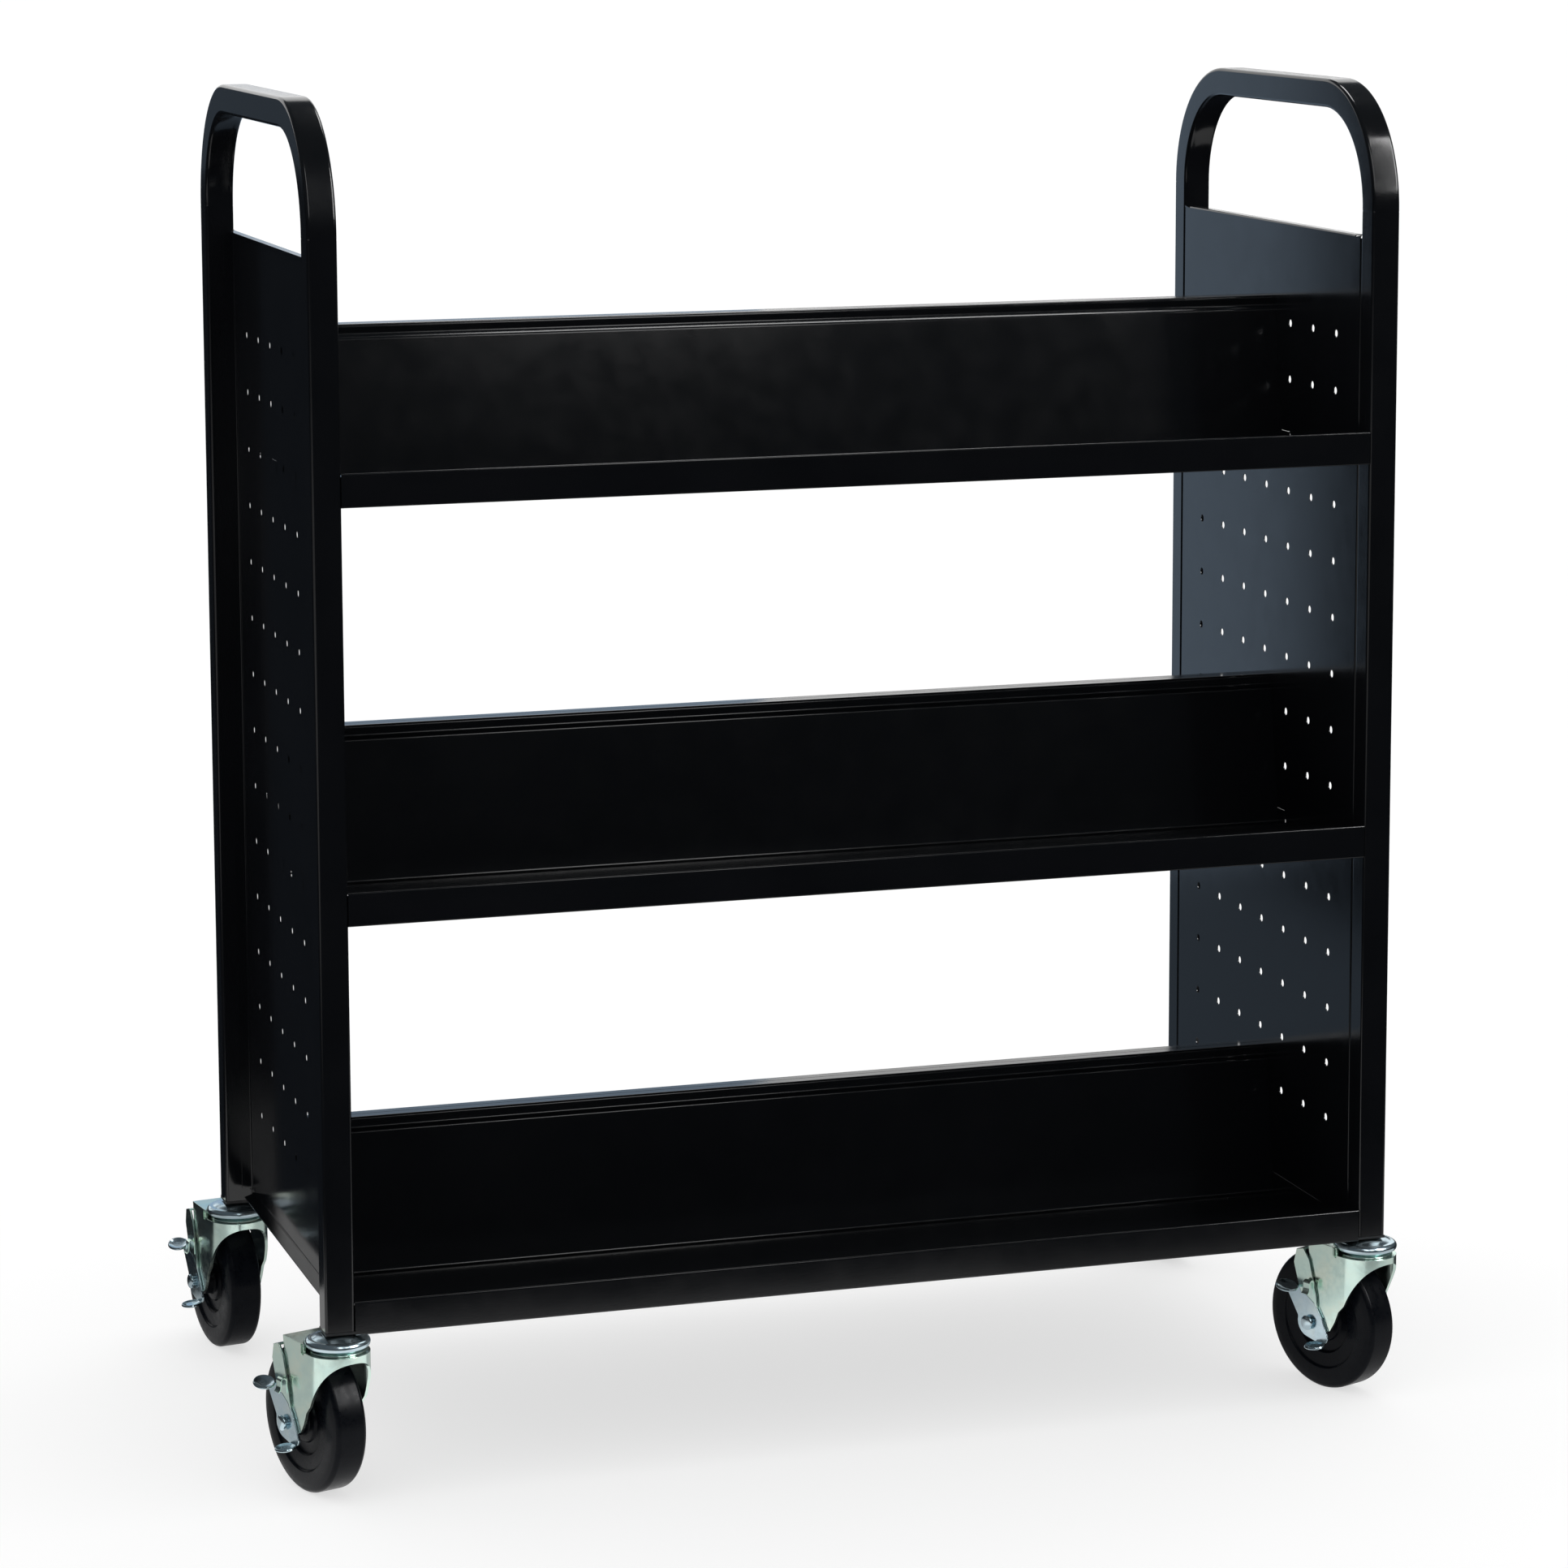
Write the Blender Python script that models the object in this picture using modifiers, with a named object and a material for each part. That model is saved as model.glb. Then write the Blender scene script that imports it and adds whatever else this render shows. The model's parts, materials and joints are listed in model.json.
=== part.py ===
"""Double-sided book cart: bent tube end frames, perforated end panels, six sloped shelves, four braked casters.

Metres, +Z up. X runs along the shelves, the front shelves face -Y, and the floor is z = 0. The casters trail
to the rear, so the frame's centre stands at (FRAME_X, FRAME_Y) and the origin is under the middle of the whole.
"""

import math

import bmesh
import bpy
from mathutils import Matrix, Vector

# Overall sizes of the cart
WIDTH = 0.9652
DEPTH = 0.4572
HANDLE_TOP = 1.176
POST_BOTTOM = 0.150
FRAME_X = 0.0167
FRAME_Y = -0.0380
GAP = 0.0003

# Square tube of the end frames
TUBE = 0.0254
TUBE_WALL = 0.0016
TUBE_CORNER = 0.0025
BEND_RADIUS = 0.0975
BEND_STEPS = 8
POST_X = WIDTH / 2 - TUBE / 2
POST_Y = DEPTH / 2 - TUBE / 2
INNER_X = WIDTH / 2 - TUBE

# Perforated end panels
PANEL_SHEET = 0.0015
PANEL_BOTTOM = 0.159
PANEL_TOP = 1.043
PANEL_HALF_WIDTH = POST_Y - TUBE / 2 - GAP
SIDE_FLANGE = 0.010
SIDE_FLANGE_RELIEF = 0.012
BOTTOM_FLANGE = 0.0127
BOTTOM_FLANGE_CHAMFER = 0.012
TOP_HEM = 0.008
HOLE_PITCH = 0.0508
HOLE_DIAMETER = 0.007
HOLE_SIDES = 6
HOLE_COLUMNS = 7
HOLE_ROWS = 15
FIRST_HOLE_ROW_Z = 0.953
SLOT_Y = 0.0405
SLOT_WIDTH = 0.022
SLOT_HEIGHT = 0.016
SLOT_BELOW_CORNER = 0.002

# Sloped shelves
SHELF_SHEET = 0.0012
SHELF_HALF_LENGTH = INNER_X - GAP
TIER_PITCH = 0.3494
TOP_LIP_Z = 0.8793
LIP_HEIGHT = 0.0288
LIP_RETURN = 0.012
DECK_DROP = 0.033
JUNCTION_Y = 0.037
BACK_RISE = 0.096
BACK_TOP_Y = 0.012
BACK_LEAN_TOP_Y = 0.0165
BAND_HEIGHT = 0.009
CENTRE_GAP = 0.0004

# Casters, measured from the swivel axis and the floor
WHEEL_RADIUS = 0.0635
WHEEL_WIDTH = 0.03175
TRAIL = 0.040
AXLE_RADIUS = 0.004
CLEARANCE_HOLE_RADIUS = 0.0043
FORK_TOP = 0.1315
FORK_SHEET = 0.0025
FORK_RADIUS = 0.0275
FORK_REAR = 0.0445
SKIRT_FRONT_Z = 0.126
SKIRT_SIDE_Z = 0.0865
CAP_RADIUS = 0.0275
STEM_RADIUS = 0.0055
KINGPIN_RADIUS = 0.0045
INSERT_TOP = 0.176
INSERT_FLANGE = 0.0022
LEVER_SHEET = 0.0025
SHOE_SHEET = 0.002
BOLT_HEAD_RADIUS = 0.0065
SHOE_Y = FORK_RADIUS + GAP
LEVER_Y = SHOE_Y + SHOE_SHEET + GAP
BOLT_HEAD_Y = LEVER_Y + LEVER_SHEET + GAP
NUT_Y = FORK_RADIUS + GAP
NUT_THICKNESS = 0.0055
NUT_RADIUS = 0.0075
SLEEVE_BORE = 0.0045
SLEEVE_RADIUS = 0.0059
SHOE_HOLE_RADIUS = 0.0078
PEDAL_REACH = 0.015
RELEASE_REACH = 0.009

# Caster corner name: side along X, side along Y, heading of the trailing wheel in degrees from +X
CASTERS = {
    "front_left": (-1, -1, 107.5),
    "front_right": (1, -1, 112.5),
    "rear_left": (-1, 1, 98.5),
    "rear_right": (1, 1, 100.0),
}
TIERS = ("top", "middle", "bottom")


def clear_scene():
    for old in list(bpy.data.objects):
        bpy.data.objects.remove(old)


def new_collection(name):
    collection = bpy.data.collections.new(name)
    bpy.context.scene.collection.children.link(collection)
    return collection


def new_material(name, color, roughness, metallic):
    material = bpy.data.materials.new(name)
    material.use_nodes = True
    shader = material.node_tree.nodes["Principled BSDF"]
    shader.inputs["Base Color"].default_value = (*color, 1.0)
    shader.inputs["Roughness"].default_value = roughness
    shader.inputs["Metallic"].default_value = metallic
    return material


def new_empty(name, collection, parent, location, heading=0.0):
    empty = bpy.data.objects.new(name, None)
    collection.objects.link(empty)
    empty.parent = parent
    empty.location = location
    empty.rotation_euler = (0.0, 0.0, heading)
    return empty


def place(name, mesh, material, collection, parent, location=(0, 0, 0), rotation=(0, 0, 0)):
    """One named object; the mesh may be shared with its twins."""
    if not mesh.materials:
        mesh.materials.append(material)
    piece = bpy.data.objects.new(name, mesh)
    collection.objects.link(piece)
    piece.parent = parent
    piece.location = location
    piece.rotation_euler = rotation
    return piece


def rod(radius, ends, sides=16):
    """A closed cylinder between two points, as a bmesh."""
    start, end = Vector(ends[0]), Vector(ends[1])
    along = end - start
    bm = bmesh.new()
    turn = along.to_track_quat("Z", "Y").to_matrix().to_4x4()
    bmesh.ops.create_cone(
        bm,
        cap_ends=True,
        segments=sides,
        radius1=radius,
        radius2=radius,
        depth=along.length,
        matrix=Matrix.Translation((start + end) / 2) @ turn,
    )
    return bm


def box(size, centre):
    bm = bmesh.new()
    bmesh.ops.create_cube(bm, size=1.0, matrix=Matrix.Translation(centre) @ Matrix.Diagonal((*size, 1.0)))
    return bm


def joined(parts):
    """One bmesh holding all the parts, which are freed."""
    whole = bmesh.new()
    for part in parts:
        mesh = bpy.data.meshes.new("part")
        part.to_mesh(mesh)
        part.free()
        whole.from_mesh(mesh)
        bpy.data.meshes.remove(mesh)
    return whole


def finish_mesh(name, bm, thickness=0.0, offset=-1.0, cutters=()):
    """Turns a bmesh surface into a finished mesh: Solidify to the sheet's thickness, then the cuts."""
    mesh = bpy.data.meshes.new(name)
    bm.to_mesh(mesh)
    bm.free()
    work = bpy.data.objects.new(name, mesh)
    bpy.context.scene.collection.objects.link(work)
    if thickness:
        sheet = work.modifiers.new("sheet", "SOLIDIFY")
        sheet.thickness = thickness
        sheet.offset = offset
        sheet.use_even_offset = True
    tools = []
    for cutter in cutters:
        tool_mesh = bpy.data.meshes.new("cutter")
        cutter.to_mesh(tool_mesh)
        cutter.free()
        tool = bpy.data.objects.new("cutter", tool_mesh)
        bpy.context.scene.collection.objects.link(tool)
        cut = work.modifiers.new("cut", "BOOLEAN")
        cut.operation = "DIFFERENCE"
        cut.object = tool
        tools.append(tool)
    bpy.context.view_layer.update()
    graph = bpy.context.evaluated_depsgraph_get()
    result = bpy.data.meshes.new_from_object(work.evaluated_get(graph))
    result.name = name
    for used in [work, *tools]:
        bpy.data.objects.remove(used)
    return result


def turned_mesh(name, profile, steps, closed=False):
    """A lathe shape about Z from (radius, z) points that run down the outer side."""
    bm = bmesh.new()
    points = [bm.verts.new((radius, 0.0, z)) for radius, z in profile]
    for first, second in zip(points, points[1:]):
        bm.edges.new((first, second))
    if closed:
        bm.edges.new((points[-1], points[0]))
    mesh = bpy.data.meshes.new(name)
    bm.to_mesh(mesh)
    bm.free()
    work = bpy.data.objects.new(name, mesh)
    bpy.context.scene.collection.objects.link(work)
    screw = work.modifiers.new("turn", "SCREW")
    screw.steps = steps
    screw.render_steps = steps
    screw.use_merge_vertices = True
    screw.merge_threshold = 0.00001
    bpy.context.view_layer.update()
    graph = bpy.context.evaluated_depsgraph_get()
    result = bpy.data.meshes.new_from_object(work.evaluated_get(graph))
    result.name = name
    bpy.data.objects.remove(work)
    result.shade_smooth()
    result.set_sharp_from_angle(angle=math.radians(35))
    return result


def arc(centre, radius, start_deg, end_deg, steps):
    """Points of an arc in a plane, as (u, v) pairs."""
    angles = [math.radians(start_deg + (end_deg - start_deg) * i / steps) for i in range(steps + 1)]
    return [(centre[0] + radius * math.cos(a), centre[1] + radius * math.sin(a)) for a in angles]


# End frames


def tube_path():
    """Centreline of the inverted U, as (y, z) points from the rear foot over the handle to the front foot."""
    top = HANDLE_TOP - TUBE / 2
    bend_y = POST_Y - BEND_RADIUS
    bend_z = top - BEND_RADIUS
    path = [(POST_Y, POST_BOTTOM)]
    path += arc((bend_y, bend_z), BEND_RADIUS, 0, 90, BEND_STEPS)
    path += arc((-bend_y, bend_z), BEND_RADIUS, 90, 180, BEND_STEPS)
    path.append((-POST_Y, POST_BOTTOM))
    return path


def tube_section():
    """Outline of the square tube with eased corners, as (across, out) offsets from the centreline."""
    half = TUBE / 2
    flat = half - TUBE_CORNER
    corners = ((1, 1), (-1, 1), (-1, -1), (1, -1))
    outline = []
    for side_u, side_v in corners:
        pair = [(side_u * half, side_v * flat), (side_u * flat, side_v * half)]
        outline += pair if side_u * side_v > 0 else pair[::-1]
    return outline


def end_frame_mesh():
    """The open tube wall swept along the U, given its thickness inwards so that both feet stay open."""
    path = [Vector((0.0, y, z)) for y, z in tube_path()]
    bm = bmesh.new()
    rings = []
    for index, point in enumerate(path):
        before = (point - path[index - 1]).normalized() if index else None
        after = (path[index + 1] - point).normalized() if index + 1 < len(path) else None
        along = ((before or after) + (after or before)).normalized()
        stretch = 1.0 / along.dot(after or before)
        out = Vector((1.0, 0.0, 0.0)).cross(along)
        ring = [bm.verts.new(point + Vector((u, 0, 0)) + out * v * stretch) for u, v in tube_section()]
        rings.append([bm.edges.new((ring[i - 1], ring[i])) for i in range(len(ring))])
    for first, second in zip(rings, rings[1:]):
        bmesh.ops.bridge_loops(bm, edges=first + second)
    bmesh.ops.recalc_face_normals(bm, faces=bm.faces)
    return finish_mesh("end_frame", bm, TUBE_WALL)


# End panels


def panel_surface():
    """Outer skin of the right panel: the plate with its side, top and bottom flanges folded to +X."""
    half = PANEL_HALF_WIDTH
    low = PANEL_BOTTOM + SIDE_FLANGE_RELIEF
    high = PANEL_TOP - SIDE_FLANGE_RELIEF
    inset = half - BOTTOM_FLANGE_CHAMFER
    outline = [
        (-half, PANEL_BOTTOM),
        (-inset, PANEL_BOTTOM),
        (inset, PANEL_BOTTOM),
        (half, PANEL_BOTTOM),
        (half, low),
        (half, high),
        (half, PANEL_TOP),
        (inset, PANEL_TOP),
        (-inset, PANEL_TOP),
        (-half, PANEL_TOP),
        (-half, high),
        (-half, low),
    ]
    bm = bmesh.new()
    verts = [bm.verts.new((INNER_X, y, z)) for y, z in outline]
    bm.faces.new(verts)
    folds = {
        (1, 2): (BOTTOM_FLANGE, BOTTOM_FLANGE_CHAMFER),
        (4, 5): (SIDE_FLANGE, 0.0),
        (7, 8): (TOP_HEM, 0.0),
        (10, 11): (SIDE_FLANGE, 0.0),
    }
    for (first, second), (reach, chamfer) in folds.items():
        edge = bm.edges.get((verts[first], verts[second]))
        made = bmesh.ops.extrude_edge_only(bm, edges=[edge])["geom"]
        for vert in [item for item in made if isinstance(item, bmesh.types.BMVert)]:
            vert.co.x += reach
            vert.co.y -= math.copysign(chamfer, vert.co.y)
    bmesh.ops.recalc_face_normals(bm, faces=bm.faces)
    if bm.faces[0].normal.x > 0:
        bmesh.ops.reverse_faces(bm, faces=bm.faces)
    return bm


def hole_cutters():
    """All the round holes of one panel, as prisms in a single bmesh."""
    prisms = []
    for row in range(HOLE_ROWS):
        for column in range(HOLE_COLUMNS):
            y = (column - HOLE_COLUMNS // 2) * HOLE_PITCH
            z = FIRST_HOLE_ROW_Z - row * HOLE_PITCH
            ends = ((INNER_X - PANEL_SHEET, y, z), (INNER_X + 2 * PANEL_SHEET, y, z))
            prisms.append(rod(HOLE_DIAMETER / 2, ends, HOLE_SIDES))
    return joined(prisms)


def slot_cutters():
    """The rectangular slots beside each shelf's inner corner."""
    slots = []
    for tier in range(len(TIERS)):
        z = TOP_LIP_Z - tier * TIER_PITCH - DECK_DROP + SLOT_HEIGHT / 2 - SLOT_BELOW_CORNER
        for side in (-1, 1):
            slots.append(box((4 * PANEL_SHEET, SLOT_WIDTH, SLOT_HEIGHT), (INNER_X, side * SLOT_Y, z)))
    return joined(slots)


# Shelves


def shelf_profile():
    """Section of a front shelf as (y, z), z from the top of its lip: return, lip, deck, back, band, top flange."""
    lip_y = -DEPTH / 2
    step = BACK_RISE - BAND_HEIGHT
    return [
        (lip_y + LIP_RETURN, -LIP_HEIGHT),
        (lip_y, -LIP_HEIGHT),
        (lip_y, 0.0),
        (-JUNCTION_Y, -DECK_DROP),
        (-BACK_LEAN_TOP_Y, step - 0.003),
        (-BACK_TOP_Y, step),
        (-BACK_TOP_Y, BACK_RISE),
        (-CENTRE_GAP, BACK_RISE),
    ]


def shelf_mesh():
    """The bent sheet of one front shelf, its lip's top at z = 0."""
    bm = bmesh.new()
    row = [bm.verts.new((-SHELF_HALF_LENGTH, y, z)) for y, z in shelf_profile()]
    edges = [bm.edges.new(pair) for pair in zip(row, row[1:])]
    made = bmesh.ops.extrude_edge_only(bm, edges=edges)["geom"]
    for vert in [item for item in made if isinstance(item, bmesh.types.BMVert)]:
        vert.co.x = SHELF_HALF_LENGTH
    bmesh.ops.recalc_face_normals(bm, faces=bm.faces)
    bm.faces.ensure_lookup_table()
    if bm.faces[2].normal.z < 0:
        bmesh.ops.reverse_faces(bm, faces=bm.faces)
    return finish_mesh("shelf", bm, SHELF_SHEET)


# Casters, in their own frame: +x to the trailing side, +y to the brake's side


def insert_mesh():
    """Plug pressed into a post's foot: a flange below the tube, a body inside it and a hole for the stem."""
    inner = TUBE / 2 - TUBE_WALL - TUBE_CORNER / 2
    flange_top = POST_BOTTOM - GAP
    flange = box((TUBE, TUBE, INSERT_FLANGE), (0, 0, flange_top - INSERT_FLANGE / 2))
    floor = flange_top - INSERT_FLANGE / 2
    body = box((2 * inner, 2 * inner, INSERT_TOP - floor), (0, 0, (INSERT_TOP + floor) / 2))
    hole = rod(STEM_RADIUS + GAP, ((0, 0, floor - TUBE), (0, 0, INSERT_TOP + TUBE)), 12)
    return union_mesh("tube_insert", flange, body, [hole])


def union_mesh(name, first, second, cutters):
    """Two overlapping closed shapes united into one body, then cut."""
    mesh = bpy.data.meshes.new(name)
    first.to_mesh(mesh)
    first.free()
    other = bpy.data.meshes.new("other")
    second.to_mesh(other)
    second.free()
    base = bpy.data.objects.new(name, mesh)
    extra = bpy.data.objects.new("extra", other)
    for made in (base, extra):
        bpy.context.scene.collection.objects.link(made)
    add = base.modifiers.new("add", "BOOLEAN")
    add.operation = "UNION"
    add.object = extra
    bpy.context.view_layer.update()
    graph = bpy.context.evaluated_depsgraph_get()
    joined_mesh = bpy.data.meshes.new_from_object(base.evaluated_get(graph))
    bpy.data.objects.remove(base)
    bpy.data.objects.remove(extra)
    bm = bmesh.new()
    bm.from_mesh(joined_mesh)
    return finish_mesh(name, bm, cutters=cutters)


def stem_cap_mesh():
    """Stem, domed dust cap and kingpin of a caster, turned as one riveted piece."""
    profile = [
        (0.0, 0.172),
        (STEM_RADIUS - 0.001, 0.172),
        (STEM_RADIUS, 0.171),
        (STEM_RADIUS, 0.1466),
        (0.012, 0.1466),
        (0.0235, 0.1428),
        (CAP_RADIUS, 0.1390),
        (CAP_RADIUS, 0.1362),
        (0.0255, 0.1355),
        (0.0240, 0.1385),
        (KINGPIN_RADIUS, 0.1385),
        (KINGPIN_RADIUS, 0.1283),
        (0.009, 0.1283),
        (0.0075, 0.1262),
        (0.0, 0.1262),
    ]
    return turned_mesh("stem_cap", profile, 14)


def race_ring_mesh():
    """Hardened ring that the balls run in, between the fork's crown and the dust cap."""
    profile = [
        (0.0180, 0.1372),
        (0.0222, 0.1372),
        (0.0262, 0.1332),
        (0.0262, FORK_TOP + GAP),
        (0.0180, FORK_TOP + GAP),
    ]
    return turned_mesh("race_ring", profile, 14, closed=True)


def fork_outline():
    """Plan of the fork's crown as (x, y): the straight rear edge, two sides and the round front."""
    return [(FORK_REAR, FORK_RADIUS)] + arc((0, 0), FORK_RADIUS, 90, 270, 12) + [(FORK_REAR, -FORK_RADIUS)]


def leg_outline():
    """Lower edge of a leg as (x, z), from the skirt's end down round the axle and up to the crown's rear."""
    front = [(0.0065, 0.0795), (0.0110, 0.0690), (0.0165, 0.0600)]
    boss = arc((TRAIL, WHEEL_RADIUS), 0.0115, 240, 375, 6)
    notch = [(0.0400, 0.0960), (0.0350, 0.1000), (0.0350, 0.1055), (0.0400, 0.1070)]
    return front + boss + notch


def fork_mesh():
    """Stamped fork: flat crown, half-round skirt in front and two flat legs down to the axle."""
    bm = bmesh.new()
    crown = [bm.verts.new((x, y, FORK_TOP)) for x, y in fork_outline()]
    bm.faces.new(crown)
    skirt_top = crown[1:-1]
    middle = len(skirt_top) // 2
    skirt_low = []
    for index, vert in enumerate(skirt_top):
        share = abs(index - middle) / middle
        height = SKIRT_FRONT_Z - (SKIRT_FRONT_Z - SKIRT_SIDE_Z) * share**2.35
        skirt_low.append(bm.verts.new((vert.co.x, vert.co.y, height)))
    for index in range(len(skirt_top) - 1):
        bm.faces.new((skirt_top[index], skirt_low[index], skirt_low[index + 1], skirt_top[index + 1]))
    for side, top_rear, top_front, low_front in (
        (1, crown[0], skirt_top[0], skirt_low[0]),
        (-1, crown[-1], skirt_top[-1], skirt_low[-1]),
    ):
        edge = [bm.verts.new((x, side * FORK_RADIUS, z)) for x, z in leg_outline()]
        bm.faces.new([top_rear, top_front, low_front, *edge])
    bmesh.ops.recalc_face_normals(bm, faces=bm.faces)
    bm.faces.ensure_lookup_table()
    if bm.faces[0].normal.z < 0:
        bmesh.ops.reverse_faces(bm, faces=bm.faces)
    kingpin = rod(KINGPIN_RADIUS + GAP, ((0, 0, FORK_TOP - 0.01), (0, 0, FORK_TOP + 0.01)), 16)
    axle_ends = ((TRAIL, -0.04, WHEEL_RADIUS), (TRAIL, 0.04, WHEEL_RADIUS))
    axle = rod(CLEARANCE_HOLE_RADIUS, axle_ends, 12)
    return finish_mesh("fork", bm, FORK_SHEET, cutters=[kingpin, axle])


def wheel_mesh():
    """Solid wheel about Z: hub, dished web with a step ring, and a tyre with round shoulders."""
    half = WHEEL_WIDTH / 2
    side = [
        (0.0062, 0.0225),
        (0.0130, 0.0225),
        (0.0155, 0.0115),
        (0.0280, 0.0115),
        (0.0320, half - 0.001),
        (0.0550, half - 0.001),
        (0.0610, half - 0.0040),
        (WHEEL_RADIUS, half - 0.0090),
    ]
    profile = side + [(radius, -z) for radius, z in reversed(side)]
    return turned_mesh("wheel", profile, 24, closed=True)


def sleeve_mesh():
    """Steel bush on the axle, clamped between the legs; the wheel turns on it."""
    half = FORK_RADIUS - FORK_SHEET - GAP
    profile = [(SLEEVE_BORE, half), (SLEEVE_RADIUS, half), (SLEEVE_RADIUS, -half), (SLEEVE_BORE, -half)]
    return turned_mesh("axle_sleeve", profile, 12, closed=True)


def bolt_mesh():
    """Axle bolt about Z, its round head on the brake's side."""
    tail = -(NUT_Y + NUT_THICKNESS + 0.0015)
    head = BOLT_HEAD_Y
    profile = [
        (0.0, head + 0.0035),
        (0.0035, head + 0.0033),
        (0.0055, head + 0.0022),
        (BOLT_HEAD_RADIUS, head + 0.0005),
        (BOLT_HEAD_RADIUS, head),
        (AXLE_RADIUS, head),
        (AXLE_RADIUS, tail + 0.001),
        (AXLE_RADIUS - 0.001, tail),
        (0.0, tail),
    ]
    return turned_mesh("axle_bolt", profile, 12)


def nut_mesh():
    """Hexagon nut on the far end of the axle bolt."""
    bm = rod(NUT_RADIUS, ((0, 0, -NUT_Y), (0, 0, -NUT_Y - NUT_THICKNESS)), 6)
    hole = rod(AXLE_RADIUS + 0.0002, ((0, 0, -0.02), (0, 0, -0.05)), 14)
    return finish_mesh("axle_nut", bm, cutters=[hole])


def folded_tab(bm, first, second, reach, round_steps=4):
    """A tab with a round end, folded outwards along +y from the edge between two points of a plate."""
    middle = (first.co + second.co) / 2
    half = (second.co - first.co) / 2
    points = []
    for index in range(1, round_steps):
        angle = math.pi * index / round_steps
        out = Vector((0, reach * (0.55 + 0.45 * math.sin(angle)), 0))
        points.append(bm.verts.new(middle + half * math.cos(angle) + out))
    bm.faces.new([first, second, *points])


def lever_mesh():
    """Brake lever about the axle: a round eye, an arm up to the foot pedal and a release pedal low in front."""
    bm = bmesh.new()
    pedal_edge = [(0.0285, 0.0345), (0.0120, 0.0310)]
    front_side = [(0.0105, 0.0250), (0.0040, 0.0250), (-0.0065, 0.0190), (-0.0150, 0.0075)]
    release_edge = [(-0.0325, -0.0035), (-0.0205, -0.0145)]
    eye = arc((0, 0), 0.0140, -110, 15, 5)
    outline = pedal_edge + front_side + release_edge + eye + [(0.0290, 0.0280)]
    verts = [bm.verts.new((x, LEVER_Y, z)) for x, z in outline]
    bm.faces.new(verts)
    folded_tab(bm, verts[0], verts[1], PEDAL_REACH)
    folded_tab(bm, verts[6], verts[7], RELEASE_REACH)
    bmesh.ops.recalc_face_normals(bm, faces=bm.faces)
    bm.faces.ensure_lookup_table()
    if bm.faces[0].normal.y > 0:
        bmesh.ops.reverse_faces(bm, faces=bm.faces)
    hole = rod(CLEARANCE_HOLE_RADIUS, ((0, LEVER_Y - 0.01, 0), (0, LEVER_Y + 0.01, 0)), 12)
    return finish_mesh("brake_lever", bm, LEVER_SHEET, cutters=[hole])


def shoe_mesh():
    """Brake shoe: a narrow tread strip behind the fork with two cheeks, one reaching down round the axle."""
    bm = bmesh.new()
    strip = [(0.0475, 0.1290), (0.0560, 0.1268)]
    rear_side = [(0.0640, 0.1145), (0.0560, 0.0960), (0.0510, 0.0800), (0.0500, 0.0600)]
    foot = [(0.0450, 0.0520), (0.0330, 0.0520)]
    front_side = [(0.0290, 0.0640), (0.0320, 0.0900), (0.0410, 0.1210)]
    arm = strip + rear_side + foot + front_side
    short = strip + [(0.0640, 0.1145), (0.0450, 0.1160)]
    near = [bm.verts.new((x, SHOE_Y, z)) for x, z in arm]
    far = [bm.verts.new((x, -SHOE_Y, z)) for x, z in short]
    bm.faces.new(near)
    bm.faces.new(far)
    bm.faces.new((near[0], near[1], far[1], far[0]))
    bmesh.ops.recalc_face_normals(bm, faces=bm.faces)
    bm.faces.ensure_lookup_table()
    if bm.faces[0].normal.y < 0:
        bmesh.ops.reverse_faces(bm, faces=bm.faces)
    hole_ends = ((TRAIL, SHOE_Y - 0.01, WHEEL_RADIUS), (TRAIL, SHOE_Y + 0.01, WHEEL_RADIUS))
    hole = rod(SHOE_HOLE_RADIUS, hole_ends, 12)
    return finish_mesh("brake_shoe", bm, SHOE_SHEET, offset=1.0, cutters=[hole])


def build_frame(collection, cart, paint):
    half_turn = math.pi
    frame = end_frame_mesh()
    place("end_frame_left", frame, paint, collection, cart, (-POST_X, 0, 0))
    place("end_frame_right", frame, paint, collection, cart, (POST_X, 0, 0))
    panel = finish_mesh("end_panel", panel_surface(), PANEL_SHEET, cutters=[hole_cutters(), slot_cutters()])
    place("end_panel_right", panel, paint, collection, cart)
    place("end_panel_left", panel, paint, collection, cart, rotation=(0, 0, half_turn))
    shelf = shelf_mesh()
    for index, tier in enumerate(TIERS):
        height = TOP_LIP_Z - index * TIER_PITCH
        place(f"shelf_{tier}_front", shelf, paint, collection, cart, (0, 0, height))
        place(f"shelf_{tier}_rear", shelf, paint, collection, cart, (0, 0, height), (0, 0, half_turn))


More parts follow.
